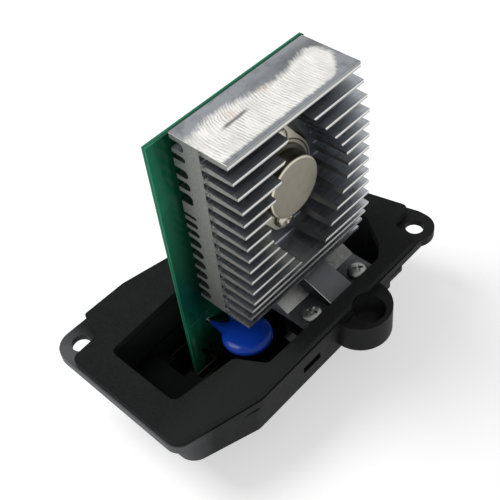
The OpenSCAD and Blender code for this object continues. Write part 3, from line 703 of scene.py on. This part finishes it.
def tube(bm, points, radius, steps, flat=lambda i: 1.0):
    """A tube along points, closed at its ends. Radius(i) is its size and flat(i) scales it in Z."""
    rings = []
    normal = None
    for i, point in enumerate(points):
        ahead = points[min(i + 1, len(points) - 1)] - points[max(i - 1, 0)]
        ahead.normalize()
        if normal is None:
            normal = ahead.orthogonal().normalized()
        normal = (normal - ahead * normal.dot(ahead)).normalized()
        side = ahead.cross(normal)
        ring = []
        for k in range(steps):
            out = around(radius(i), 0, k, steps)
            out = out.x * normal + out.y * side
            out.z *= flat(i)
            ring.append(bm.verts.new(point + out))
        rings.append(ring)
    bridge(bm, rings)
    for ring in (rings[0], rings[-1]):
        bm.faces.new(ring)


def box(bm, low, high, where=Matrix.Identity(4), index=0):
    """A box between two corners, placed with a matrix."""
    low, high = Vector(low), Vector(high)
    where = where @ Matrix.Translation((low + high) / 2) @ Matrix.Diagonal((*(high - low), 1))
    for vert in bmesh.ops.create_cube(bm, matrix=where)["verts"]:
        for face in vert.link_faces:
            face.material_index = index


def bezier(a, b, c, d, steps):
    """Points along a cubic curve."""
    points = []
    for i in range(steps + 1):
        t = i / steps
        u = 1 - t
        points.append(a * u ** 3 + b * (3 * u * u * t) + c * (3 * u * t * t) + d * t ** 3)
    return points


def islands(node):
    """(lowest corner, highest corner) of each separate solid of a CAD node."""
    bm = merged(node)
    todo = set(bm.verts)
    found = []
    while todo:
        group = [todo.pop()]
        for vert in group:
            near = {edge.other_vert(vert) for edge in vert.link_edges} & todo
            todo -= near
            group.extend(near)
        spans = [[vert.co[axis] for vert in group] for axis in range(3)]
        found.append([Vector([pick(span) for span in spans]) for pick in (min, max)])
    bm.free()
    return sorted(found, key=lambda pair: tuple(pair[0]))


# ---- Operators ----


class BuildOperator:
    """What the operators of this part share."""

    bl_options = {"REGISTER"}

    @property
    def sizes(self):
        return bpy.context.scene.module_sizes

    @property
    def colours(self):
        return bpy.context.scene.module_colours


class MODULE_OT_housing(BuildOperator, bpy.types.Operator):
    """Build the moulded flange housing"""

    bl_idname = "module.housing"
    bl_label = "Housing"

    def execute(self, context):
        grain = self.sizes.plastic_grain / MM
        plastic = partial(tinted, self.colours.plastic)
        finishes = [
            moulded("housing_plastic", plastic(), grain, dust_and_sheen=self.colours.dust_and_sheen),
            # painted light: the well's walls and the lug's pocket are lighter copies of the
            # plastic; the well's floor is a duller copy
            moulded("housing_well", plastic(2.8), grain, rough=(0.7, 0.85), specular=0.05),
            moulded("housing_well_floor", plastic(0.9), grain, rough=(0.7, 0.85), specular=0.02),
            moulded("housing_pocket", plastic(2.6), grain, rough=(0.25, 0.35), specular=0.5),
        ]
        mounts = {mount["name"]: mount for mount in frame["record"]["mounts"]}
        mesh = softened("housing", self.sizes.housing_edge)
        for face in mesh.polygons:
            if self.in_well(face.center / MM):
                face.material_index = 2 if face.normal.z > 0.7 else 1
            elif self.in_pocket(face.center / MM, mounts["lug_hole"]):
                face.material_index = 3
        piece("housing_moulding", mesh, finishes, "housing_plastic", "housing")
        return {"FINISHED"}

    @staticmethod
    def in_pocket(at, hole):
        """Whether a place in millimetres lies in the lug's round pocket, below its rim."""
        away = (at - Vector(hole["pos_m"]) / MM).xy.length
        return away < hole["dims"]["r_mm"] + 0.1 and at.z < POCKET_TOP

    @staticmethod
    def in_well(at):
        """Whether a place in millimetres lies inside the well or the deep box under it."""
        return any(
            all(a < b < c for a, b, c in zip(low, at, high)) and at.x - at.y < bevel
            for low, high, bevel in WELL
        )


class MODULE_OT_gasket(BuildOperator, bpy.types.Operator):
    """Build the foam seal on the flange"""

    bl_idname = "module.gasket"
    bl_label = "Gasket"

    def execute(self, context):
        finish = foam("seal_foam", self.colours.foam, self.sizes.foam_grain / MM)
        soft_piece("foam_seal", "flange_gasket", self.sizes.gasket_edge, finish, "seal_foam")
        return {"FINISHED"}


class MODULE_OT_heatsink(BuildOperator, bpy.types.Operator):
    """Build the finned heatsink"""

    bl_idname = "module.heatsink"
    bl_label = "Heatsink"

    def execute(self, context):
        finish = extrusion("sink_aluminium", self.colours, self.sizes)
        mesh = self.with_burrs(softened("heatsink", self.sizes.sink_edge, 22.0))
        piece("heatsink_extrusion", mesh, finish, "sink_aluminium", "heatsink")
        return {"FINISHED"}

    def with_burrs(self, mesh):
        """Adds the saw's burrs where each front fin leaves the web at the sawn left end."""
        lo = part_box("heatsink")[0]
        chance = random.Random(5)
        bm = bmesh.new()
        bm.from_mesh(mesh)
        for i in range(1, FRONT_FINS + 1):
            for _ in range(3):
                at = Vector((
                    lo.x + chance.uniform(0.05, 0.12) * MM,
                    chance.uniform(-9.4, -7.7) * MM,
                    (FIN_Z - FIN_PITCH * i + chance.uniform(0.55, 1.0)) * MM,
                ))
                turn = Matrix.Rotation(chance.uniform(-1.2, 1.2), 4, "X")
                turn = turn @ Matrix.Rotation(chance.uniform(-0.4, 0.2), 4, "Y")
                long, wide = chance.uniform(0.8, 1.6) * MM, chance.uniform(0.14, 0.28) * MM
                flake = [(0, -0.2 * long), (wide, 0), (wide * 0.8, 0.4 * long), (0, long)]
                lathe(bm, flake, Matrix.Translation(at) @ turn, 5)
        bm.to_mesh(mesh)
        bm.free()
        return mesh


def cross_cutter(head_r, head_h):
    """The solid that cuts a cross recess into a pan head: two tapered arms and a tapered core."""
    cutter = bmesh.new()
    arm, wing = head_r * 0.62, head_r * 0.115
    bottom, top = head_h * 0.62, head_h * 1.25
    corners = ((-1, -1), (1, -1), (1, 1), (-1, 1))
    for turn in (0, 90):
        rings = []
        for long, wide, z in ((arm * 0.45, wing * 0.8, bottom), (arm * 1.15, wing * 1.3, top)):
            places = [turned(turn, "Z") @ Vector((i * long, j * wide, z)) for i, j in corners]
            rings.append([cutter.verts.new(place) for place in places])
        for ring in rings:
            cutter.faces.new(ring)
        bridge(cutter, rings)
    core = [(0, head_h * 0.5), (wing * 1.6, head_h * 0.6), (wing * 3.2, top), (0, top)]
    lathe(cutter, core, turned(45, "Z"), 4)
    return cutter


def screw_form(name, pitch, head_r, head_h, shank_r, reach):
    """A pan-head screw with a cross recess and a thread, head up, underside at the origin."""
    bm = bmesh.new()
    rim, arcs = 0.3, 8
    profile = [(0, 0), (head_r, 0), (head_r, head_h * rim)]
    for k in range(1, arcs + 1):
        a = math.radians(90 * k / arcs)
        r = head_r * math.cos(a) ** 0.75 if k < arcs else 0
        profile.append((r, head_h * (rim + (1 - rim) * math.sin(a))))
    lathe(bm, profile, Matrix.Identity(4), 64)
    head = to_mesh(bm, name + "_head", 50.0)
    head = cut_out(head, cross_cutter(head_r, head_h), 5.0, use_self=True)

    bm = bmesh.new()
    bm.from_mesh(head)
    steps, per_turn, depth = 24, 6, 0.16
    rows = max(2, int(reach / pitch * per_turn))
    rings = []
    for i in range(rows + 1):
        z = -reach * i / rows
        ring = []
        for k in range(steps):
            phase = (-z / pitch + k / steps) % 1.0
            r = shank_r * (1 - depth * abs(2 * phase - 1))
            ring.append(bm.verts.new(around(r, z, k, steps)))
        rings.append(ring)
    bridge(bm, rings)
    bm.faces.new(rings[-1])
    return to_mesh(bm, name + "_form", 32.0)


def placed_screws(name, node, places, finish, form):
    """Screws of one form at places, each a matrix, that stand for a CAD node."""
    bm = bmesh.new()
    for where in places:
        screw = form.copy()
        screw.transform(where)
        bm.from_mesh(screw)
    piece(name, to_mesh(bm, name, 32.0), finish, "plated_steel", node)


class MODULE_OT_foot_fixings(BuildOperator, bpy.types.Operator):
    """Build the two screws through the foot and their brass inserts"""

    bl_idname = "module.foot_fixings"
    bl_label = "Foot screws and inserts"

    def execute(self, context):
        finish = metal("zinc_plate", tinted(self.colours.zinc, 1.7), rough=0.4, scratch=0.7,
                       tarnish=0.6, relief=0.09)
        head_h = 2.4 * MM
        places = []
        for i, (lo, hi) in enumerate(islands("foot_screws")):
            centre = (lo + hi) / 2
            under_head = Matrix.Translation((centre.x, centre.y, hi.z - head_h))
            places.append(under_head @ turned(20 + 33 * i, "Z"))
        form = screw_form("foot_screw", self.sizes.thread_pitch, head_r=3.5 * MM, head_h=head_h,
                          shank_r=1.9 * MM, reach=9.5 * MM)
        placed_screws("foot_cross_screws", "foot_screws", places, finish, form)
        keep_nodes(metal("insert_brass", self.colours.brass, 0.3), "foot_inserts")
        return {"FINISHED"}


class MODULE_OT_transistor(BuildOperator, bpy.types.Operator):
    """Build the power transistor, its screws and its insulators"""

    bl_idname = "module.transistor"
    bl_label = "Transistor"

    def execute(self, context):
        c, s = self.colours, self.sizes
        # painted light on the can: a bright ring on its rounded shoulder is a painted highlight,
        # and its side wall is darkened as a painted dark reflection
        drawn = [(9.35, 9.85, 2.6), (9.93, 20.0, 0.4)]
        # painted light and shade on the base: a lighter band round the can as painted light, a dark
        # ring beyond it as a painted contact shadow, and a lighter ear outside that
        base_rings_lit_and_shaded = [(10.0, 12.1, 1.3), (12.25, 12.6, 0.15), (12.75, 22.0, 1.5)]
        can = metal("nickel_can", c.nickel, 0.36, 0.08, 0.2, 0.9, drawn)
        base = metal("nickel_base", tinted(c.nickel, 1.45), 0.32, 0.1, 0.3, 0.75, base_rings_lit_and_shaded)
        soft_piece("transistor_cap", "transistor_can", 0.1 * MM, can, "nickel_can")
        soft_piece("transistor_plate", "transistor_base", s.steel_edge, base, "nickel_base")

        finish = metal("nickelled_steel", tinted(c.nickelled, 1.35), rough=0.24, spread=0.08,
                       scratch=0.5, relief=0.05)
        head_h = 1.7 * MM
        places = []
        for lo, hi in islands("transistor_screws"):
            centre = (lo + hi) / 2
            under_head = Matrix.Translation((centre.x, lo.y + head_h, centre.z))
            places.append(under_head @ turned(90, "X"))
        form = screw_form("transistor_screw", s.thread_pitch, head_r=3.3 * MM, head_h=head_h,
                          shank_r=1.75 * MM, reach=20 * MM)
        placed_screws("transistor_cross_screws", "transistor_screws", places, finish, form)
        steel = metal("washer_steel", tinted(c.zinc, 0.7))
        soft_piece("screw_washers", "transistor_washers", 0.08 * MM, steel, "plated_steel")
        steel = metal("nut_steel", c.zinc, 0.28)
        soft_piece("lock_nuts", "transistor_nuts", 0.15 * MM, steel, "plated_steel")

        nylon = moulded("natural_nylon", c.nylon, 0.4, rough=(0.35, 0.5), specular=0.5)
        keep_nodes(nylon, "pin_sleeves", "insulating_bushes", "board_spacers")
        # painted shadow: a dark ring on the mica along the base's outline
        mica = metal("mica", (0.12, 0.115, 0.1), 0.3, 0.1, 0.3, rings=[(13.7, 14.15, 0.15)])
        keep_nodes(mica, "mica_insulator")
        keep_nodes(metal("tinned_wire", c.tin, 0.25), "transistor_pins", "bond_wires")
        glass = dipped("seal_glass", (0.02, 0.07, 0.055), rough=0.05, wobble=0.02)
        keep_nodes(glass, "pin_glass_seals")
        silicon = dipped("silicon", (0.05, 0.06, 0.08), rough=0.08, wobble=0.01)
        keep_nodes(silicon, "transistor_die")
        return {"FINISHED"}


class MODULE_OT_board(BuildOperator, bpy.types.Operator):
    """Build the circuit board, its pads and its solder"""

    bl_idname = "module.board"
    bl_label = "Circuit board"

    def execute(self, context):
        mesh = softened("circuit_board", self.sizes.board_edge, 60.0, 1)
        finish = solder_mask("board_laminate", self.colours)
        piece("printed_board", mesh, finish, "board_laminate", "circuit_board")
        solder = metal("solder", self.colours.tin, 0.22, 0.08, 0.3, 0.8)
        keep_nodes(solder, "solder_joints")
        pads = bmesh.new()
        for node in ("varistor_leads", *LEAD_NODES):
            for low, high in islands(node):
                self.pads_of_lead(pads, low, high)
        piece("board_pads", pads, solder, "solder")
        return {"FINISHED"}

    def pads_of_lead(self, pads, low, high):
        """Adds a ring on both faces of the board where each end of a lead passes through it."""
        upright, wire_r = 1.2 * MM, 0.35 * MM
        middle = (low + high) / 2
        x_places = [low.x + wire_r, high.x - wire_r]
        if high.x - low.x < upright:
            x_places = [middle.x]
        z = middle.z if high.z - low.z < upright else low.z + wire_r
        ring = [(0.46, 0), (0.46, 0.05), (1.05, 0.05), (1.1, 0)]
        lo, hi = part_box("circuit_board")
        for x in x_places:
            for face, way in ((lo.y, 90), (hi.y, -90)):
                where = Matrix.Translation((x, face, z)) @ turned(way, "X")
                lathe(pads, [(r * MM, h * MM) for r, h in ring], where, 24)


class MODULE_OT_varistor(BuildOperator, bpy.types.Operator):
    """Build the blue dipped varistor and its leads"""

    bl_idname = "module.varistor"
    bl_label = "Varistor"

    def execute(self, context):
        s = self.sizes
        lo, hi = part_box("varistor_disc")
        centre, radius, half = (lo + hi) / 2, (hi.x - lo.x) / 2, (hi.z - lo.z) / 2
        board_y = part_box("circuit_board")[0].y
        arcs = 24
        profile = []
        for k in range(arcs + 1):
            a = math.radians(-90 + 180 * k / arcs)
            across = radius * max(0.0, math.cos(a)) ** 0.75 if 0 < k < arcs else 0.0
            profile.append((across, half * math.sin(a)))
        bm = bmesh.new()
        lathe(bm, profile, Matrix.Translation(centre), 96)
        leads = bmesh.new()
        steps, tip = 16, 0.6 * MM
        for low, high in islands("varistor_leads"):
            x, z = (low.x + high.x) / 2, (low.z + high.z) / 2
            rise = half * 0.1 if z > centre.z else -half * 0.1
            start = Vector((x + (centre.x - x) * 0.3, centre.y + radius * 0.5, centre.z + rise))
            end = Vector((x, board_y - 0.7 * MM, z))
            after, before = Vector((0, 3.5 * MM, 0)), Vector((0, 2.6 * MM, 0))
            neck = bezier(start, start + after, end - before, end, steps)
            taper = [tip + (s.neck_radius - tip) * (1 - i / steps) ** 1.3 for i in range(steps + 1)]
            tube(bm, neck, taper.__getitem__, 24, lambda i: 1 - 0.42 * (1 - i / steps))
            tail = [end - Vector((0, 1.0 * MM, 0)), end, Vector((x, board_y + 2.5 * MM, z))]
            tube(leads, tail, lambda i: s.lead_radius, 16)
        mesh = remesh(to_mesh(bm, "varistor_raw"), s.coating_detail, 0.5, 14)
        blue = dipped("varistor_epoxy", self.colours.blue, rough=0.1, wobble=0.05, specular=0.17)
        piece("varistor_coating", mesh, blue, "varistor_epoxy", "varistor_disc")
        tin = metal("varistor_wire", self.colours.tin, 0.25)
        piece("varistor_wires", leads, tin, "tinned_wire", "varistor_leads")
        return {"FINISHED"}


class MODULE_OT_board_parts(BuildOperator, bpy.types.Operator):
    """Build the small parts on the back of the board"""

    bl_idname = "module.board_parts"
    bl_label = "Board parts"

    def execute(self, context):
        c = self.colours
        keep_nodes(metal("component_wire", c.tin, 0.25), "chip_legs", *LEAD_NODES)
        keep_nodes(metal("sense_alloy", (0.42, 0.31, 0.22)), "sense_wire")
        self.chip(c)
        self.film_capacitor(c)
        self.electrolytic(c)
        paint = [(0.7, (0.25, 0.02, 0.01)), (-0.6, (0.35, 0.08, 0.01)), (-1.9, (0.02, 0.02, 0.02)),
                 (2.2, (0.45, 0.3, 0.06))]
        lacquer = banded("resistor_lacquer", c.lacquer, paint, 0.3)
        black = banded("diode_resin", c.resin, [(1.6, (0.6, 0.6, 0.58))], 0.45)
        self.axial("resistor_bodies", "resistors", 0.86, lacquer, "resistor_lacquer")
        self.axial("diode_body", "diode", 1.0, black, "chip_resin")
        return {"FINISHED"}

    def chip(self, c):
        """The chip, with a notch in one end and a dimple at its first leg."""
        resin = moulded("chip_resin", c.resin, 0.25, rough=(0.45, 0.6), specular=0.4)
        lo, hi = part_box("control_chip")
        bm = bmesh.new()
        bm.from_mesh(softened("control_chip", 0.2 * MM, 25.0, 1))
        chip = to_mesh(bm, "control_chip_body")
        cutter = bmesh.new()
        notch = (lo.x, (lo.z + hi.z) / 2, 0.9 * MM)
        dimple = (lo.x + 1.6 * MM, lo.z + 1.3 * MM, 0.45 * MM)
        deep = 0.75 * MM
        for x, z, r in (notch, dimple):
            where = Matrix.Translation((x, hi.y + 0.3 * MM, z)) @ turned(90, "X")
            lathe(cutter, [(0, 0), (r, 0), (r, deep), (0, deep)], where, 32)
        piece("control_chip_body", cut_out(chip, cutter), resin, "chip_resin", "control_chip")

    def film_capacitor(self, c):
        """The dipped film capacitor, a box swollen by its coating."""
        lo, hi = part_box("film_capacitor")
        inset = Vector((0.4, 0.4, 0.4)) * MM
        bm = bmesh.new()
        box(bm, lo + inset, hi - inset)
        swell = ("DISPLACE", {"strength": 0.5 * MM, "mid_level": 0.0})
        mesh = remesh(to_mesh(bm, "film"), self.sizes.coating_detail, 0.6, 24, swell)
        finish = dipped("film_epoxy", c.red_epoxy, rough=0.25, wobble=0.15)
        piece("film_capacitor_body", mesh, finish, "film_epoxy", "film_capacitor")

    def electrolytic(self, c):
        """The electrolytic can in its beaded sleeve, with a scored end."""
        lo, hi = box_mm("electrolytic_capacitor")
        centre, r, high = (lo + hi) / 2, (hi.x - lo.x) / 2, hi.z - lo.z
        bm = bmesh.new()
        upright = Matrix.Translation(Vector((centre.x, centre.y, lo.z)) * MM) @ Matrix.Scale(MM, 4)
        sleeve = [
            (0, 0), (r - 0.6, 0), (r - 0.1, 0.15), (r, 0.5), (r, 1.3), (r - 0.35, 1.7),
            (r - 0.35, 1.9), (r, 2.3), (r, high - 0.5), (r - 0.15, high - 0.12), (r - 0.5, high),
            (r - 1.0, high), (r - 1.0, high - 0.2),
        ]
        lathe(bm, sleeve, upright, 64)
        lathe(bm, [(r - 1.0, high - 0.2), (0, high - 0.2)], upright, 64, 1)
        for turn in (0, 90):
            score = upright @ turned(turn, "Z")
            box(bm, (-3.2, -0.12, high - 0.3), (3.2, 0.12, high - 0.15), score, 1)
        finishes = [dipped("capacitor_sleeve", c.sleeve, rough=0.3, wobble=0.03),
                    metal("can_end", c.aluminium, 0.3)]
        piece("electrolytic_body", bm, finishes, "capacitor_sleeve", "electrolytic_capacitor")

    def axial(self, name, node, waist, finish, slot):
        """Round bodies along X with domed ends, drawn in to waist between them, for paint bands."""
        bm = bmesh.new()
        layer = bm.verts.layers.float.new("along")
        rows = 32
        for lo, hi in islands(node):
            centre, r, half = (lo + hi) / 2, (hi.y - lo.y) / 2, (hi.x - lo.x) / 2
            outline = []
            for i in range(rows + 1):
                t = -1 + 2 * i / rows
                dip = waist + (1 - waist) / (1 + math.exp(-22 * (abs(t) - 0.5)))
                cap = max(0.0, 1 - max(0.0, (abs(t) - 0.82) / 0.18) ** 2.4) ** 0.5
                outline.append((r * dip * cap, t * half))
            lathe(bm, outline, Matrix.Translation(centre) @ turned(90, "Y"), 32, 0, layer)
        piece(name, to_mesh(bm, name, 60.0), finish, slot, node)


class MODULE_OT_terminals(BuildOperator, bpy.types.Operator):
    """Build the plug's blades and their carrier"""

    bl_idname = "module.terminals"
    bl_label = "Plug terminals"

    def execute(self, context):
        # painted shade: the blades and their carrier are darkened copies that sit in the well's
        # shade
        blades_in_painted_shade = metal("blade_metal", (0.015, 0.0135, 0.011), 0.5, 0.1, 0.25, 0.8)
        for node in ("power_blades", "signal_blades"):
            soft_piece(node + "_formed", node, 0.12 * MM, blades_in_painted_shade, "blade_metal")
        comb = moulded("carrier_plastic", tinted(self.colours.plastic, 0.9),
                       self.sizes.plastic_grain / MM, rough=(0.7, 0.85), specular=0.03)
        soft_piece("carrier_comb", "terminal_carrier", 0.2 * MM, comb, "carrier_plastic")
        return {"FINISHED"}


class MODULE_OT_stage(BuildOperator, bpy.types.Operator):
    """Build the floor, the lights, the world and the camera"""

    bl_idname = "module.stage"
    bl_label = "Stage"

    def execute(self, context):
        scene = context.scene
        stage = scene.module_stage
        low, half = CAD_BOX[0].z, stage.floor_size / 2
        bm = bmesh.new()
        corners = [(-half, -half, low), (half, -half, low), (half, half, low), (-half, half, low)]
        bm.faces.new([bm.verts.new(p) for p in corners])
        floor = new_object("floor", to_mesh(bm, "floor"))
        floor.data.materials.append(self.floor_finish())
        self.lamp("key", KEY_PLACE, KEY_SIZE, stage.key_power)
        self.lamp("fill", FILL_PLACE, FILL_SIZE, stage.fill_power)
        self.world(scene)
        self.camera(scene, stage.lens)
        scene.view_settings.view_transform = "Standard"
        return {"FINISHED"}

    def seen_directly(self, tree, low, high):
        """High for camera, glossy and transmission rays, and low for others."""
        rays = add_node(tree, "LightPath").outputs
        seen = rays["Is Camera Ray"]
        for name in ("Is Glossy Ray", "Is Transmission Ray"):
            seen = add_node(tree, "Math", {0: seen, 1: rays[name]}, operation="MAXIMUM").outputs[0]
        span = {"Value": seen, "To Min": low, "To Max": high}
        return add_node(tree, "MapRange", span).outputs[0]

    def floor_finish(self):
        material = new_material("floor_paper")
        tree = material.node_tree
        paper = add_node(tree, "BsdfDiffuse", {"Color": (0.8, 0.8, 0.8)})
        glow = add_node(tree, "Emission", {"Strength": self.seen_directly(tree, 0.0, 0.5)})
        both = add_node(tree, "AddShader", {0: paper.outputs[0], 1: glow.outputs[0]})
        add_node(tree, "OutputMaterial", {"Surface": both.outputs[0]})
        return material

    def world(self, scene):
        world = bpy.data.worlds.new("studio")
        world.use_nodes = True
        tree = world.node_tree
        shade = tree.nodes["Background"]
        plug(tree, shade.inputs["Color"], (1, 1, 1))
        plug(tree, shade.inputs["Strength"], self.seen_directly(tree, 0.3, 1.0))
        scene.world = world

    def lamp(self, name, place, size, power):
        data = bpy.data.lights.new(name, "AREA")
        data.shape = "DISK"
        data.size = size
        data.energy = power
        lamp = new_object(name, data)
        lamp.location = place
        aim = Vector(LAMP_AIM) - lamp.location
        lamp.rotation_euler = aim.to_track_quat("-Z", "Y").to_euler()

    def camera(self, scene, lens):
        data = bpy.data.cameras.new("camera")
        data.lens = lens
        data.sensor_width = 36.0
        data.shift_x, data.shift_y = CAMERA_SHIFT
        data.clip_start = 0.01
        camera = new_object("camera", data)
        forward = Vector(CAMERA_FORWARD).normalized()
        up = Vector(CAMERA_RIGHT).cross(forward).normalized()
        turn = Matrix((forward.cross(up), up, -forward)).transposed()
        camera.matrix_world = Matrix.Translation(CAMERA_PLACE) @ turn.to_4x4()
        scene.camera = camera


class MODULE_PT_panel(bpy.types.Panel):
    """Buttons and settings of the module"""

    bl_label = "Blower speed module"
    bl_space_type = "VIEW_3D"
    bl_region_type = "UI"
    bl_category = "Module"

    def draw(self, context):
        column = self.layout.column(align=True)
        for operator in OPERATORS:
            column.operator(operator.bl_idname)
        for name in GROUPS:
            group = getattr(context.scene, name)
            body = self.layout.box()
            for key in group.__annotations__:
                body.prop(group, key)


GROUPS = {"module_sizes": ModuleSizes, "module_colours": ModuleColours, "module_stage": ModuleStage}
OPERATORS = (
    MODULE_OT_housing, MODULE_OT_gasket, MODULE_OT_heatsink, MODULE_OT_foot_fixings,
    MODULE_OT_transistor, MODULE_OT_board, MODULE_OT_varistor, MODULE_OT_board_parts,
    MODULE_OT_terminals, MODULE_OT_stage,
)
CLASSES = (*GROUPS.values(), *OPERATORS, MODULE_PT_panel)


def register():
    for cls in CLASSES:
        bpy.utils.register_class(cls)
    for name, group in GROUPS.items():
        setattr(bpy.types.Scene, name, PointerProperty(type=group))


def unregister():
    for name in GROUPS:
        delattr(bpy.types.Scene, name)
    for cls in reversed(CLASSES):
        bpy.utils.unregister_class(cls)


def main():
    """Build every piece and the stage."""
    register()
    for operator in OPERATORS:
        group, name = operator.bl_idname.split(".")
        getattr(getattr(bpy.ops, group), name)()


if __name__ == "__main__":
    main()
